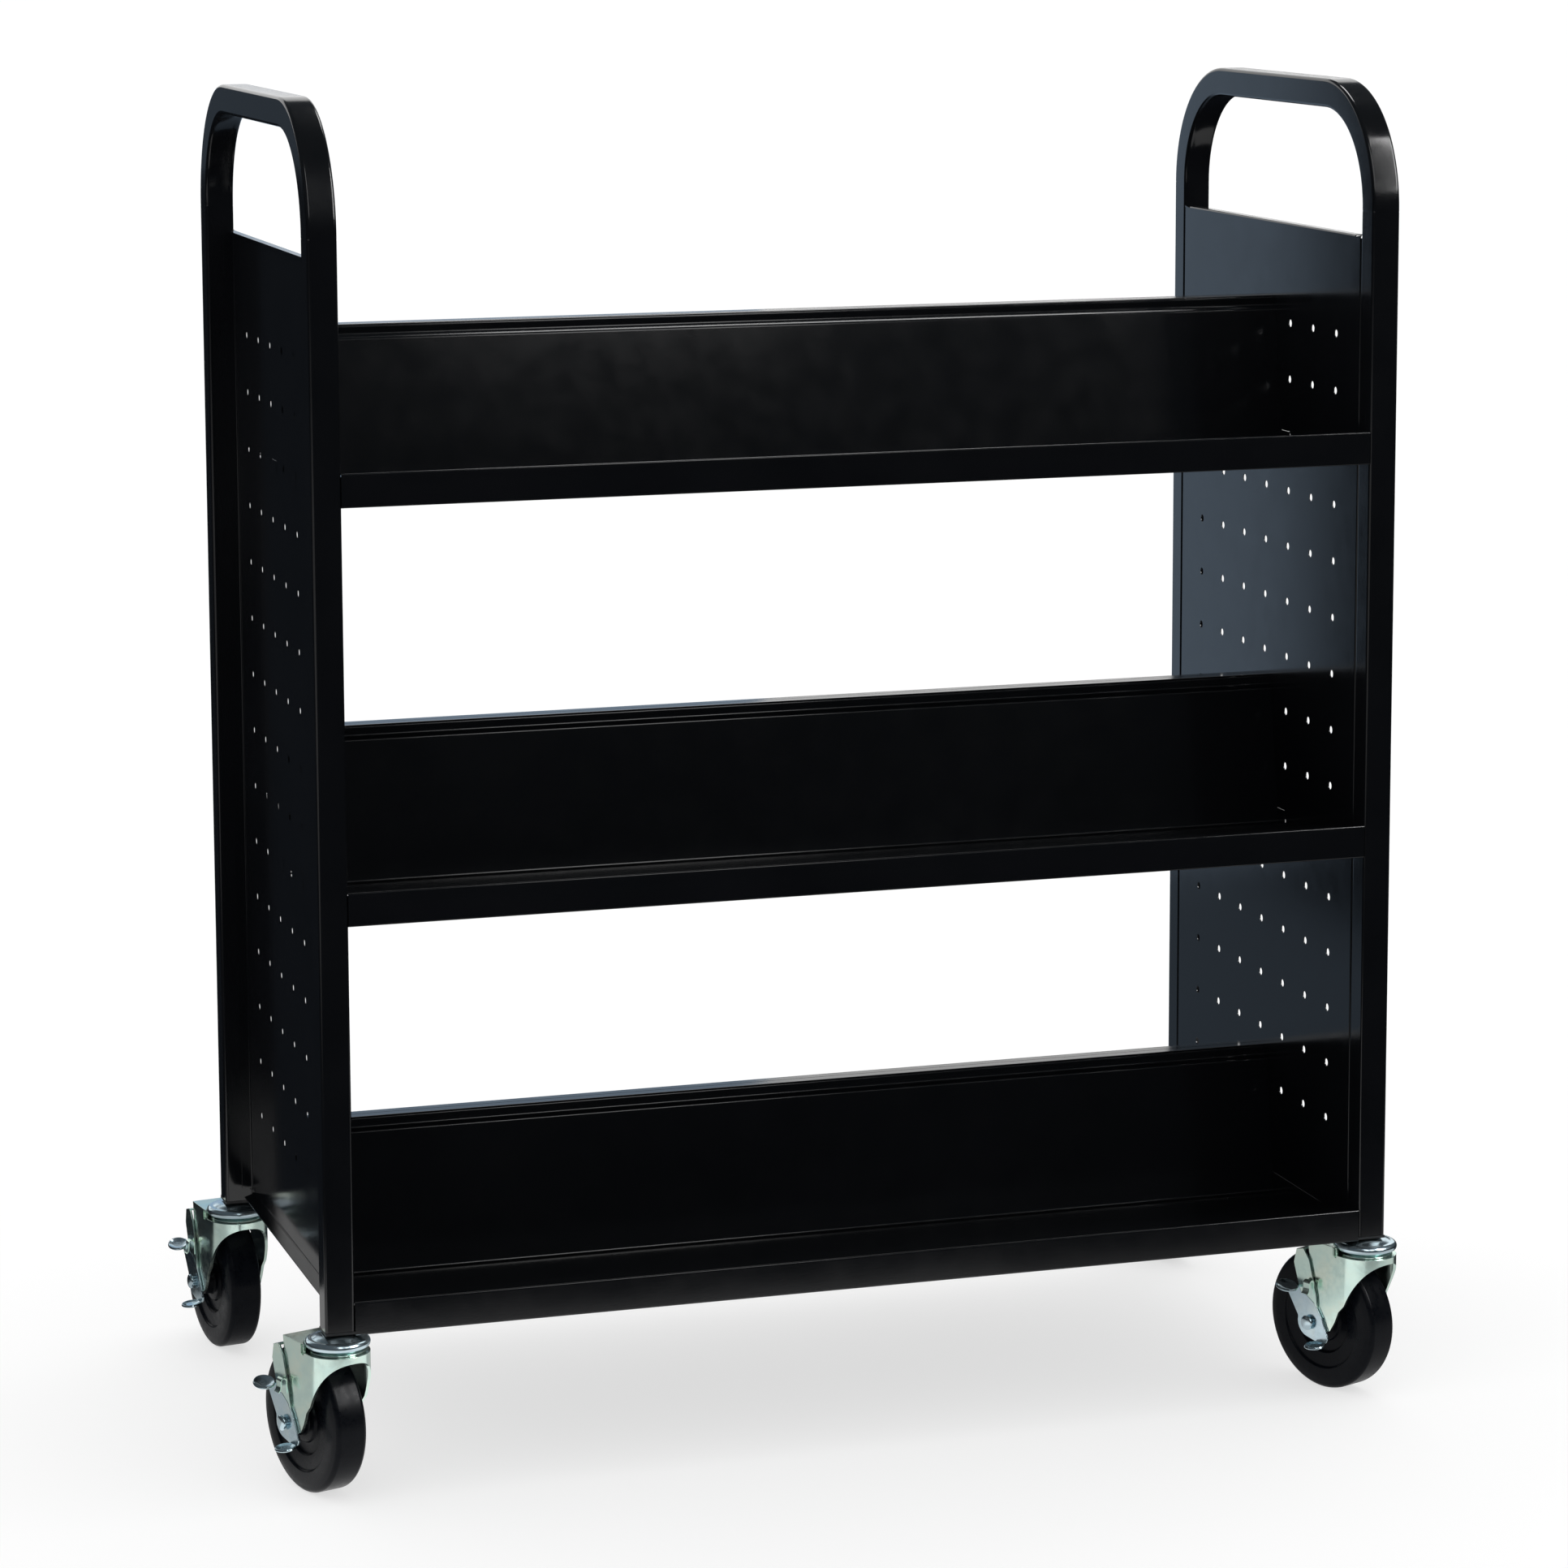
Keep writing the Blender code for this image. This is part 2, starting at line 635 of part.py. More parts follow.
def build_casters(collection, cart, materials):
    zinc, rubber, plastic = materials["zinc"], materials["rubber"], materials["plastic"]
    insert = insert_mesh()
    stem_cap = stem_cap_mesh()
    race_ring = race_ring_mesh()
    fork = fork_mesh()
    wheel = wheel_mesh()
    sleeve = sleeve_mesh()
    bolt = bolt_mesh()
    nut = nut_mesh()
    lever = lever_mesh()
    shoe = shoe_mesh()
    axle = (TRAIL, 0, WHEEL_RADIUS)
    lathe_to_y = (-math.pi / 2, 0, 0)
    for corner, (side_x, side_y, heading) in CASTERS.items():
        foot = (side_x * POST_X, side_y * POST_Y, 0)
        place(f"tube_insert_{corner}", insert, plastic, collection, cart, foot)
        swivel = new_empty(f"swivel_{corner}", collection, cart, foot, math.radians(heading))
        place(f"stem_cap_{corner}", stem_cap, zinc, collection, swivel)
        place(f"race_ring_{corner}", race_ring, zinc, collection, swivel)
        place(f"fork_{corner}", fork, zinc, collection, swivel)
        place(f"brake_shoe_{corner}", shoe, zinc, collection, swivel)
        place(f"wheel_{corner}", wheel, rubber, collection, swivel, axle, lathe_to_y)
        place(f"axle_sleeve_{corner}", sleeve, zinc, collection, swivel, axle, lathe_to_y)
        place(f"axle_bolt_{corner}", bolt, zinc, collection, swivel, axle, lathe_to_y)
        place(f"axle_nut_{corner}", nut, zinc, collection, swivel, axle, lathe_to_y)
        place(f"brake_lever_{corner}", lever, zinc, collection, swivel, axle)


def main():
    clear_scene()
    collection = new_collection("book_cart")
    paint = new_material("black_powder_coat", (0.012, 0.012, 0.014), 0.25, 0.0)
    materials = {
        "zinc": new_material("zinc_plate", (0.55, 0.60, 0.58), 0.35, 1.0),
        "rubber": new_material("hard_rubber", (0.012, 0.012, 0.013), 0.45, 0.0),
        "plastic": new_material("black_plastic", (0.02, 0.02, 0.02), 0.5, 0.0),
    }
    cart = new_empty("cart", collection, None, (FRAME_X, FRAME_Y, 0))
    build_frame(collection, cart, paint)
    build_casters(collection, cart, materials)


main()
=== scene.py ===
import json
import math

import bmesh
import bpy
from mathutils import Matrix, Vector


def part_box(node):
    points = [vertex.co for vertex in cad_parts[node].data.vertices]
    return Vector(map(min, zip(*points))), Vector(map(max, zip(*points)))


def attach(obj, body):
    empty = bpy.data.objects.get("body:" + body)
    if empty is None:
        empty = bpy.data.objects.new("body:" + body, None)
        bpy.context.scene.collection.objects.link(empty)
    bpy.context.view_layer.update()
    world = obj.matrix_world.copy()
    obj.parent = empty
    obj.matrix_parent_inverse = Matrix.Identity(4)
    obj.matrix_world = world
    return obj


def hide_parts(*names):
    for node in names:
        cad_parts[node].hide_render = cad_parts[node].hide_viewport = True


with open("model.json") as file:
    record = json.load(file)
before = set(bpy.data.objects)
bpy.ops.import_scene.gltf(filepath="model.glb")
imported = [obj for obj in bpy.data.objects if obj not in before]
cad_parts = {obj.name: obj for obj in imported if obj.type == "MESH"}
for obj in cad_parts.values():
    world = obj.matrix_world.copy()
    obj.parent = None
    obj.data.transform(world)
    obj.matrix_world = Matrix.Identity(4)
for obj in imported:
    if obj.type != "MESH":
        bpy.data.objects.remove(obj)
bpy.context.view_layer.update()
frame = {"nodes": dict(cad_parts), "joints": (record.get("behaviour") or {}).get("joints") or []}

# Places read from the frame, in metres
RIGHT_LOW, RIGHT_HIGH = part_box("end_frame_right")
LEFT_LOW, LEFT_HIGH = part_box("end_frame_left")
CENTRE_X = (LEFT_LOW.x + RIGHT_HIGH.x) / 2
CENTRE_Y = (LEFT_LOW.y + RIGHT_HIGH.y) / 2
TUBE = RIGHT_HIGH.x - RIGHT_LOW.x
POST_BOTTOM = RIGHT_LOW.z
HANDLE_TOP = RIGHT_HIGH.z
POST_X = (RIGHT_LOW.x + RIGHT_HIGH.x) / 2 - CENTRE_X
POST_Y = (RIGHT_HIGH.y - RIGHT_LOW.y - TUBE) / 2
PANEL_LOW, PANEL_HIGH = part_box("end_panel_right")
INNER_X = PANEL_LOW.x - CENTRE_X
PANEL_HALF_WIDTH = (PANEL_HIGH.y - PANEL_LOW.y) / 2
SHELF_LOW, SHELF_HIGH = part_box("shelf_top_front")
SHELF_HALF_LENGTH = (SHELF_HIGH.x - SHELF_LOW.x) / 2
SHELF_FRONT_Y = SHELF_LOW.y - CENTRE_Y
TIERS = ("top", "middle", "bottom")
CORNERS = ("front_left", "front_right", "rear_left", "rear_right")
JOINTS = {joint["name"]: joint for joint in frame["joints"]}

# Tube and sheet sizes
TUBE_WALL = 0.0016
TUBE_CORNER = 0.0030
BEND_RADIUS = 0.0975
BEND_STEPS = 28
BEND_DIP = 0.0008
SEAM_DEPTH = 0.00012
SEAM_HALF = 0.0007
PANEL_SHEET = 0.0009
PANEL_FOLD = 0.0018
SIDE_FLANGE = 0.010
SIDE_FLANGE_RELIEF = 0.0025
BOTTOM_FLANGE = 0.0127
BOTTOM_FLANGE_CHAMFER = 0.012
TOP_HEM = 0.008
HOLE_PITCH = 0.0508
HOLE_RADIUS = 0.0035
HOLE_STEPS = 20
HOLE_COLUMNS = 7
HOLE_ROWS = 15
FIRST_HOLE_ROW_Z = 0.953
SLOT_Y = 0.0405
SLOT_WIDTH = 0.022
SLOT_HEIGHT = 0.016
SLOT_BELOW_CORNER = 0.002
SHELF_SHEET = 0.0012
LIP_FOLD = 0.0016
SHELF_FOLD = 0.0032
LIP_HEIGHT = 0.0288
LIP_RETURN = 0.012
DECK_DROP = 0.033
JUNCTION_Y = 0.037
BACK_TOP_Y = 0.012
BACK_LEAN_TOP_Y = 0.0165
BACK_CHAMFER = 0.003
BAND_HEIGHT = 0.009
CENTRE_GAP = 0.0004
TAB_WIDTH = 0.0214
TAB_HEIGHT = 0.0154
TAB_REACH = 0.0008
END_OVERLAP = 0.00028

# Caster sizes, from the swivel axis and the floor
WHEEL_RADIUS = JOINTS["wheel_spin_front_left"]["pos_m"][2]
TURN_STEPS = 72
WHEEL_STEPS = 112
FORK_RADIUS = 0.0275
FORK_SHEET = 0.0025
CROWN_Z = 0.1315
LAND_Z = 0.1385
LAND_FRONT_X = 0.0095
DISH_RADIUS = 0.0286
FORK_REAR = 0.0445
SKIRT_FRONT_Z = 0.126
SKIRT_SIDE_Z = 0.0865
SKIRT_STEPS = 32
AXLE_HOLE_RADIUS = 0.0043
KINGPIN_HOLE_RADIUS = 0.0050
SHOE_Y = 0.0278
SHOE_SHEET = 0.002
SHOE_HOLE_RADIUS = 0.0078
LEVER_Y = 0.0301
LEVER_SHEET = 0.0025
PEDAL_SHEET = 0.0022
PEDAL_DISH = 0.0022
BOLT_HEAD_Y = 0.0329
BOLT_RADIUS = 0.004
BOLT_TAIL = 0.0348
NOTCH_X = 0.0380
SPRING_WIDTH = 0.0078


# Mesh helpers


def arc(centre, radius, start_deg, end_deg, steps):
    """Points of an arc in a plane, as (u, v) pairs."""
    angles = [math.radians(start_deg + (end_deg - start_deg) * i / steps) for i in range(steps + 1)]
    return [(centre[0] + radius * math.cos(a), centre[1] + radius * math.sin(a)) for a in angles]


def corner_curve(before, corner, after, radius, steps):
    """A soft turn at a corner between its two neighbours."""
    before, corner, after = Vector(before), Vector(corner), Vector(after)
    to_before, to_after = before - corner, after - corner
    wanted = radius / math.tan(to_before.angle(to_after) / 2)
    reach = min(wanted, 0.46 * to_before.length, 0.46 * to_after.length)
    start = corner + to_before.normalized() * reach
    end = corner + to_after.normalized() * reach
    shares = [index / steps for index in range(steps + 1)]
    return [tuple(start * (1 - t) ** 2 + corner * 2 * t * (1 - t) + end * t**2) for t in shares]


def rounded_line(points, radii, steps=5):
    """An open outline with its inner corners rounded, one radius for each."""
    corners = zip(points, points[1:], points[2:], radii)
    turns = [corner_curve(before, corner, after, radius, steps) for before, corner, after, radius in corners]
    return [points[0], *[point for turn in turns for point in turn], points[-1]]


def rounded_loop(points, radius, steps=5):
    """A closed outline with all its corners rounded."""
    count = len(points)
    turns = [
        corner_curve(points[i - 1], points[i], points[(i + 1) % count], radius, steps) for i in range(count)
    ]
    return [point for turn in turns for point in turn]


def box_bmesh(size, centre):
    bm = bmesh.new()
    bmesh.ops.create_cube(bm, size=1.0, matrix=Matrix.Translation(centre) @ Matrix.Diagonal((*size, 1.0)))
    return bm


def rod_bmesh(radius, start, end, steps):
    start, end = Vector(start), Vector(end)
    turn = (end - start).to_track_quat("Z", "Y").to_matrix().to_4x4()
    bm = bmesh.new()
    bmesh.ops.create_cone(
        bm,
        cap_ends=True,
        segments=steps,
        radius1=radius,
        radius2=radius,
        depth=(end - start).length,
        matrix=Matrix.Translation((start + end) / 2) @ turn,
    )
    return bm


def joined(parts):
    """One bmesh holding all the parts, which are freed."""
    whole = bmesh.new()
    for part in parts:
        mesh = bpy.data.meshes.new("part")
        part.to_mesh(mesh)
        part.free()
        whole.from_mesh(mesh)
        bpy.data.meshes.remove(mesh)
    return whole


def working_object(name, bm):
    mesh = bpy.data.meshes.new(name)
    bm.to_mesh(mesh)
    bm.free()
    item = bpy.data.objects.new(name, mesh)
    bpy.context.scene.collection.objects.link(item)
    return item


def worked(name, bm, steps):
    """The mesh that a bmesh becomes after the listed modifiers, shaded smooth."""
    item = working_object(name, bm)
    tools = []
    for kind, settings in steps:
        modifier = item.modifiers.new(kind, kind)
        for key, value in settings.items():
            setattr(modifier, key, value)
        if kind == "BOOLEAN":
            tools.append(modifier.object)
    bpy.context.view_layer.update()
    result = bpy.data.meshes.new_from_object(item.evaluated_get(bpy.context.evaluated_depsgraph_get()))
    result.name = name
    for used in [item, *tools]:
        bpy.data.objects.remove(used)
    result.shade_smooth()
    result.set_sharp_from_angle(angle=math.radians(42))
    return result


def fold(radius, segments=4):
    """Modifier step that turns the sharp folds of a sheet into bends."""
    settings = {"width": radius, "segments": segments, "limit_method": "ANGLE"}
    return ("BEVEL", settings | {"angle_limit": math.radians(30), "use_clamp_overlap": True})


def thicken(thickness, offset=-1.0):
    return ("SOLIDIFY", {"thickness": thickness, "offset": offset, "use_even_offset": True})


def ease(width, segments=2, angle=50):
    """Modifier step that breaks the cut edges."""
    settings = {"width": width, "segments": segments, "limit_method": "ANGLE"}
    return ("BEVEL", settings | {"angle_limit": math.radians(angle), "use_clamp_overlap": True})


def cut(cutter):
    """Modifier step that takes the cutter away."""
    return ("BOOLEAN", {"operation": "DIFFERENCE", "object": working_object("cutter", cutter)})


def turned(name, profile, steps=TURN_STEPS, closed=False):
    """A lathe shape about Z from (radius, z) points."""
    bm = bmesh.new()
    verts = [bm.verts.new((radius, 0.0, z)) for radius, z in profile]
    edges = [bm.edges.new(pair) for pair in zip(verts, verts[1:])]
    if closed:
        edges.append(bm.edges.new((verts[-1], verts[0])))
    bmesh.ops.spin(
        bm, geom=verts + edges, cent=(0, 0, 0), axis=(0, 0, 1), angle=math.tau, steps=steps, use_merge=True
    )
    bmesh.ops.remove_doubles(bm, verts=bm.verts, dist=0.000001)
    bmesh.ops.recalc_face_normals(bm, faces=bm.faces)
    return worked(name, bm, [])


def put(name, mesh, material, body, matrix=None, stands_for=None):
    """One finished piece: placed, shaded with steady flats, riding on its body."""
    if not mesh.materials:
        mesh.materials.append(material)
    piece = bpy.data.objects.new(name, mesh)
    bpy.context.scene.collection.objects.link(piece)
    piece.matrix_world = matrix or Matrix.Identity(4)
    flats = piece.modifiers.new("flats", "WEIGHTED_NORMAL")
    flats.keep_sharp = True
    flats.weight = 80
    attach(piece, body)
    if stands_for:
        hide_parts(stands_for)
    return piece


# Materials


class Graph:
    """Short way to wire a material's nodes."""

    def __init__(self, name):
        self.material = bpy.data.materials.new(name)
        self.material.use_nodes = True
        self.tree = self.material.node_tree
        self.shader = self.tree.nodes["Principled BSDF"]
        coordinates = self.tree.nodes.new("ShaderNodeTexCoord")
        self.place = coordinates.outputs["Object"]

    def link(self, source, target):
        self.tree.links.new(source, target)

    def stretched(self, scale):
        """Object coordinates scaled differently along each axis."""
        mapping = self.tree.nodes.new("ShaderNodeMapping")
        mapping.inputs["Scale"].default_value = scale
        self.link(self.place, mapping.inputs["Vector"])
        return mapping.outputs["Vector"]

    def noise(self, scale, detail=3.0, roughness=0.5, place=None):
        node = self.tree.nodes.new("ShaderNodeTexNoise")
        node.inputs["Scale"].default_value = scale
        node.inputs["Detail"].default_value = detail
        node.inputs["Roughness"].default_value = roughness
        self.link(place or self.place, node.inputs["Vector"])
        return node.outputs["Fac"]

    def ramp(self, source, low, high, from_low=0.3, from_high=0.7):
        """A value between low and high."""
        node = self.tree.nodes.new("ShaderNodeMapRange")
        node.inputs["From Min"].default_value = from_low
        node.inputs["From Max"].default_value = from_high
        node.inputs["To Min"].default_value = low
        node.inputs["To Max"].default_value = high
        self.link(source, node.inputs["Value"])
        return node.outputs["Result"]

    def colours(self, source, stops):
        node = self.tree.nodes.new("ShaderNodeValToRGB")
        elements = node.color_ramp.elements
        while len(elements) < len(stops):
            elements.new(0.5)
        for element, (position, colour) in zip(elements, stops):
            element.position = position
            element.color = (*colour, 1.0)
        self.link(source, node.inputs["Fac"])
        return node.outputs["Color"]

    def bump(self, height, strength, distance, under=None):
        node = self.tree.nodes.new("ShaderNodeBump")
        node.inputs["Strength"].default_value = strength
        node.inputs["Distance"].default_value = distance
        self.link(height, node.inputs["Height"])
        if under:
            self.link(under, node.inputs["Normal"])
        return node.outputs["Normal"]


def paint_material():
    """Glossy black powder coat: deep black, orange peel, faint ripple of the sheet and a little dulling."""
    graph = Graph("black_powder_coat")
    shader = graph.shader
    stops = [(0.35, (0.0021, 0.0024, 0.0030)), (0.7, (0.0029, 0.0032, 0.0040))]
    tint = graph.colours(graph.noise(9.0, 2.0), stops)
    graph.link(tint, shader.inputs["Base Color"])
    graph.link(graph.ramp(graph.noise(38.0, 5.0, 0.6), 0.105, 0.150), shader.inputs["Roughness"])
    ripple = graph.bump(graph.noise(5.0, 0.5), 0.05, 0.0006)
    peel = graph.bump(graph.noise(900.0, 1.5), 0.45, 0.00004, under=ripple)
    graph.link(peel, shader.inputs["Normal"])
    return graph.material


FORK_TINTS = ((0.64, 0.82, 0.76), (0.70, 0.87, 0.79), (0.78, 0.89, 0.78))
LEVER_TINTS = ((0.52, 0.66, 0.72), (0.57, 0.70, 0.76), (0.62, 0.73, 0.74))


def zinc_material(name, tints):
    """Bright zinc plate over pressed steel: cloudy tints, a soft mirror with fine dents."""
    graph = Graph(name)
    shader = graph.shader
    shader.inputs["Metallic"].default_value = 1.0
    tint = graph.colours(graph.noise(60.0, 3.0), list(zip((0.3, 0.5, 0.72), tints)))
    graph.link(tint, shader.inputs["Base Color"])
    patches = graph.noise(240.0, 4.0, 0.6)
    graph.link(graph.ramp(patches, 0.15, 0.27), shader.inputs["Roughness"])
    dents = graph.bump(graph.noise(130.0, 2.0), 0.25, 0.00012)
    graph.link(graph.bump(patches, 0.20, 0.00003, under=dents), shader.inputs["Normal"])
    return graph.material


def rubber_material():
    """Hard black moulded rubber with a satin skin, fine grain and dusty scuffs."""
    graph = Graph("hard_rubber")
    shader = graph.shader
    shader.inputs["Specular IOR Level"].default_value = 0.09
    scuffs = graph.noise(120.0, 5.0, 0.65)
    tint = graph.colours(scuffs, [(0.35, (0.0015, 0.0021, 0.0036)), (0.75, (0.0034, 0.0042, 0.0060))])
    graph.link(tint, shader.inputs["Base Color"])
    graph.link(graph.ramp(scuffs, 0.22, 0.38), shader.inputs["Roughness"])
    soft = graph.bump(graph.noise(90.0, 2.0), 0.20, 0.00015)
    graph.link(graph.bump(graph.noise(1400.0, 2.0), 0.35, 0.00004, under=soft), shader.inputs["Normal"])
    return graph.material


def plastic_material():
    """Moulded black plug with a fine texture."""
    graph = Graph("moulded_plastic")
    shader = graph.shader
    stops = [(0.3, (0.006, 0.006, 0.007)), (0.7, (0.011, 0.011, 0.012))]
    tint = graph.colours(graph.noise(200.0, 3.0), stops)
    graph.link(tint, shader.inputs["Base Color"])
    graph.link(graph.ramp(graph.noise(300.0, 3.0), 0.38, 0.55), shader.inputs["Roughness"])
    graph.link(graph.bump(graph.noise(1200.0, 2.0), 0.4, 0.00006), shader.inputs["Normal"])
    return graph.material


# End frames and panels


def tube_section(inset=0.0, dip=0.0):
    """Outline of the square tube with round corners, as (across, out) offsets from its centreline."""
    half = TUBE / 2 - inset
    flat = half - TUBE_CORNER
    outline = arc((flat, flat), TUBE_CORNER, 0, 90, 6)
    for share in (0.75, 0.5, 0.25, 0, -0.25, -0.5, -0.75):
        outline.append((flat * share, half - dip * (1 - share**2)))
    outline += arc((-flat, flat), TUBE_CORNER, 90, 180, 6)
    outline += arc((-flat, -flat), TUBE_CORNER, 180, 270, 6)
    outline += arc((flat, -flat), TUBE_CORNER, 270, 360, 6)
    return outline


def end_frame_path():
    """Stations (y, z, inset, dip) of the U: seams where the handle meets the posts, bends slightly hollow."""
    top = HANDLE_TOP - TUBE / 2
    bend_y = POST_Y - BEND_RADIUS
    bend_z = top - BEND_RADIUS
    bend = []
    for index, (y, z) in enumerate(arc((bend_y, bend_z), BEND_RADIUS, 0, 90, BEND_STEPS)):
        bend.append((y, z, 0.0, BEND_DIP * math.sin(math.pi * index / BEND_STEPS) ** 0.5))
    seam_z = bend_z - 2 * SEAM_HALF
    seam = [(POST_Y, seam_z - SEAM_HALF, 0.0, 0.0), (POST_Y, seam_z, SEAM_DEPTH, 0.0)]
    seam.append((POST_Y, seam_z + SEAM_HALF, 0.0, 0.0))
    half = [(POST_Y, POST_BOTTOM, 0.0, 0.0), *seam, *bend]
    return half + [(-y, z, inset, dip) for y, z, inset, dip in reversed(half)]


def end_frame_mesh():
    """The tube wall swept along the inverted U, open at both feet."""
    stations = end_frame_path()
    path = [Vector((0.0, y, z)) for y, z, _, _ in stations]
    bm = bmesh.new()
    rings = []
    for index, (_, _, inset, dip) in enumerate(stations):
        point = path[index]
        before = (point - path[index - 1]).normalized() if index else None
        after = (path[index + 1] - point).normalized() if index + 1 < len(path) else None
        along = ((before or after) + (after or before)).normalized()
        stretch = 1.0 / along.dot(after or before)
        out = along.cross(Vector((-1.0, 0.0, 0.0)))
        ring = [point + Vector((u, 0, 0)) + out * v * stretch for u, v in tube_section(inset, dip)]
        rings.append([bm.verts.new(corner) for corner in ring])
    for ring, following in zip(rings, rings[1:]):
        for i in range(len(ring)):
            bm.faces.new((ring[i - 1], ring[i], following[i], following[i - 1]))
    bmesh.ops.recalc_face_normals(bm, faces=bm.faces)
    return worked("end_frame", bm, [thicken(TUBE_WALL)])


def panel_surface():
    """Inner skin of the right panel: the plate with its side, top and bottom flanges folded to +X."""
    half = PANEL_HALF_WIDTH
    low = PANEL_LOW.z + SIDE_FLANGE_RELIEF
    high = PANEL_HIGH.z - SIDE_FLANGE_RELIEF
    inset = half - BOTTOM_FLANGE_CHAMFER
    outline = [
        (-half, PANEL_LOW.z),
        (-inset, PANEL_LOW.z),
        (inset, PANEL_LOW.z),
        (half, PANEL_LOW.z),
        (half, low),
        (half, high),
        (half, PANEL_HIGH.z),
        (inset, PANEL_HIGH.z),
        (-inset, PANEL_HIGH.z),
        (-half, PANEL_HIGH.z),
        (-half, high),
        (-half, low),
    ]
    bm = bmesh.new()
    verts = [bm.verts.new((INNER_X, y, z)) for y, z in outline]
    bm.faces.new(verts)
    folds = {
        (1, 2): (BOTTOM_FLANGE, BOTTOM_FLANGE_CHAMFER),
        (4, 5): (SIDE_FLANGE, 0.0),
        (7, 8): (TOP_HEM, 0.0),
        (10, 11): (SIDE_FLANGE, 0.0),
    }
    for (first, second), (reach, chamfer) in folds.items():
        edge = bm.edges.get((verts[first], verts[second]))
        made = bmesh.ops.extrude_edge_only(bm, edges=[edge])["geom"]
        for vert in [item for item in made if isinstance(item, bmesh.types.BMVert)]:
            vert.co.x += reach
            vert.co.y -= math.copysign(chamfer, vert.co.y)
    bmesh.ops.recalc_face_normals(bm, faces=bm.faces)
    bm.faces.ensure_lookup_table()
    if bm.faces[0].normal.x > 0:
        bmesh.ops.reverse_faces(bm, faces=bm.faces)
    return bm


def hole_cutters():
    rods = []
    for row in range(HOLE_ROWS):
        for column in range(HOLE_COLUMNS):
            y = (column - HOLE_COLUMNS // 2) * HOLE_PITCH
            z = FIRST_HOLE_ROW_Z - row * HOLE_PITCH
            ends = ((INNER_X - PANEL_SHEET, y, z), (INNER_X + 2 * PANEL_SHEET, y, z))
            rods.append(rod_bmesh(HOLE_RADIUS, *ends, HOLE_STEPS))
    return joined(rods)


def slot_cutters():
    """Slots beside the top and middle shelves; the bottom ones would lie below the panel's edge."""
    slots = []
    for tier in TIERS[:2]:
        lip_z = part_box(f"shelf_{tier}_front")[0].z + LIP_HEIGHT
        z = lip_z - DECK_DROP + SLOT_HEIGHT / 2 - SLOT_BELOW_CORNER
        for side in (-1, 1):
            size = (4 * PANEL_SHEET, SLOT_WIDTH, SLOT_HEIGHT)
            slots.append(box_bmesh(size, (INNER_X, side * SLOT_Y, z)))
    return joined(slots)


def panel_mesh():
    steps = [fold(PANEL_FOLD), thicken(PANEL_SHEET), cut(hole_cutters()), cut(slot_cutters())]
    return worked("end_panel", panel_surface(), steps)


def build_ends(paint):
    tube, panel = end_frame_mesh(), panel_mesh()
    half_turn = Matrix.Rotation(math.pi, 4, "Z")
    for side, name in ((-1, "left"), (1, "right")):
        middle = Matrix.Translation((CENTRE_X, CENTRE_Y, 0))
        at_post = Matrix.Translation((CENTRE_X + side * POST_X, CENTRE_Y, 0))
        put(f"tube_{name}", tube, paint, "frame", at_post, f"end_frame_{name}")
        turn = middle if side > 0 else middle @ half_turn
        put(f"panel_{name}", panel, paint, "frame", turn, f"end_panel_{name}")


# Shelves


def shelf_mesh():
    """The bent sheet of one front shelf, its lip's top at z = 0."""
    rise = SHELF_HIGH.z - SHELF_LOW.z - LIP_HEIGHT
    step = rise - BAND_HEIGHT
    profile = [
        (SHELF_FRONT_Y + LIP_RETURN, -LIP_HEIGHT),
        (SHELF_FRONT_Y, -LIP_HEIGHT),
        (SHELF_FRONT_Y, 0.0),
        (-JUNCTION_Y, -DECK_DROP),
        (-BACK_LEAN_TOP_Y, step - BACK_CHAMFER),
        (-BACK_TOP_Y, step),
        (-BACK_TOP_Y, rise),
        (-CENTRE_GAP, rise),
    ]
    radii = [LIP_FOLD, LIP_FOLD] + [SHELF_FOLD] * 4
    bm = bmesh.new()
    end = SHELF_HALF_LENGTH + END_OVERLAP
    row = [bm.verts.new((-end, y, z)) for y, z in rounded_line(profile, radii)]
    edges = [bm.edges.new(pair) for pair in zip(row, row[1:])]
    made = bmesh.ops.extrude_edge_only(bm, edges=edges)["geom"]
    for vert in [item for item in made if isinstance(item, bmesh.types.BMVert)]:
        vert.co.x = end
    bmesh.ops.recalc_face_normals(bm, faces=bm.faces)
    deck = max(bm.faces, key=lambda face: face.calc_area() * abs(face.normal.z))
    if deck.normal.z < 0:
        bmesh.ops.reverse_faces(bm, faces=bm.faces)
    sheet = worked("shelf", bm, [thicken(SHELF_SHEET)])
    whole = bmesh.new()
    whole.from_mesh(sheet)
    depth, height = LIP_RETURN - SHELF_SHEET, LIP_HEIGHT - 2 * SHELF_SHEET - 0.0022
    for side in (-1, 1):
        middle_y = SHELF_FRONT_Y + SHELF_SHEET + depth / 2
        middle = (side * (end - SHELF_SHEET / 2), middle_y, SHELF_SHEET + height / 2 - LIP_HEIGHT)
        cap = bpy.data.meshes.new("lip_end")
        box_bmesh((SHELF_SHEET, depth, height), middle).to_mesh(cap)
        whole.from_mesh(cap)
        bpy.data.meshes.remove(cap)
    return worked("shelf", whole, [])


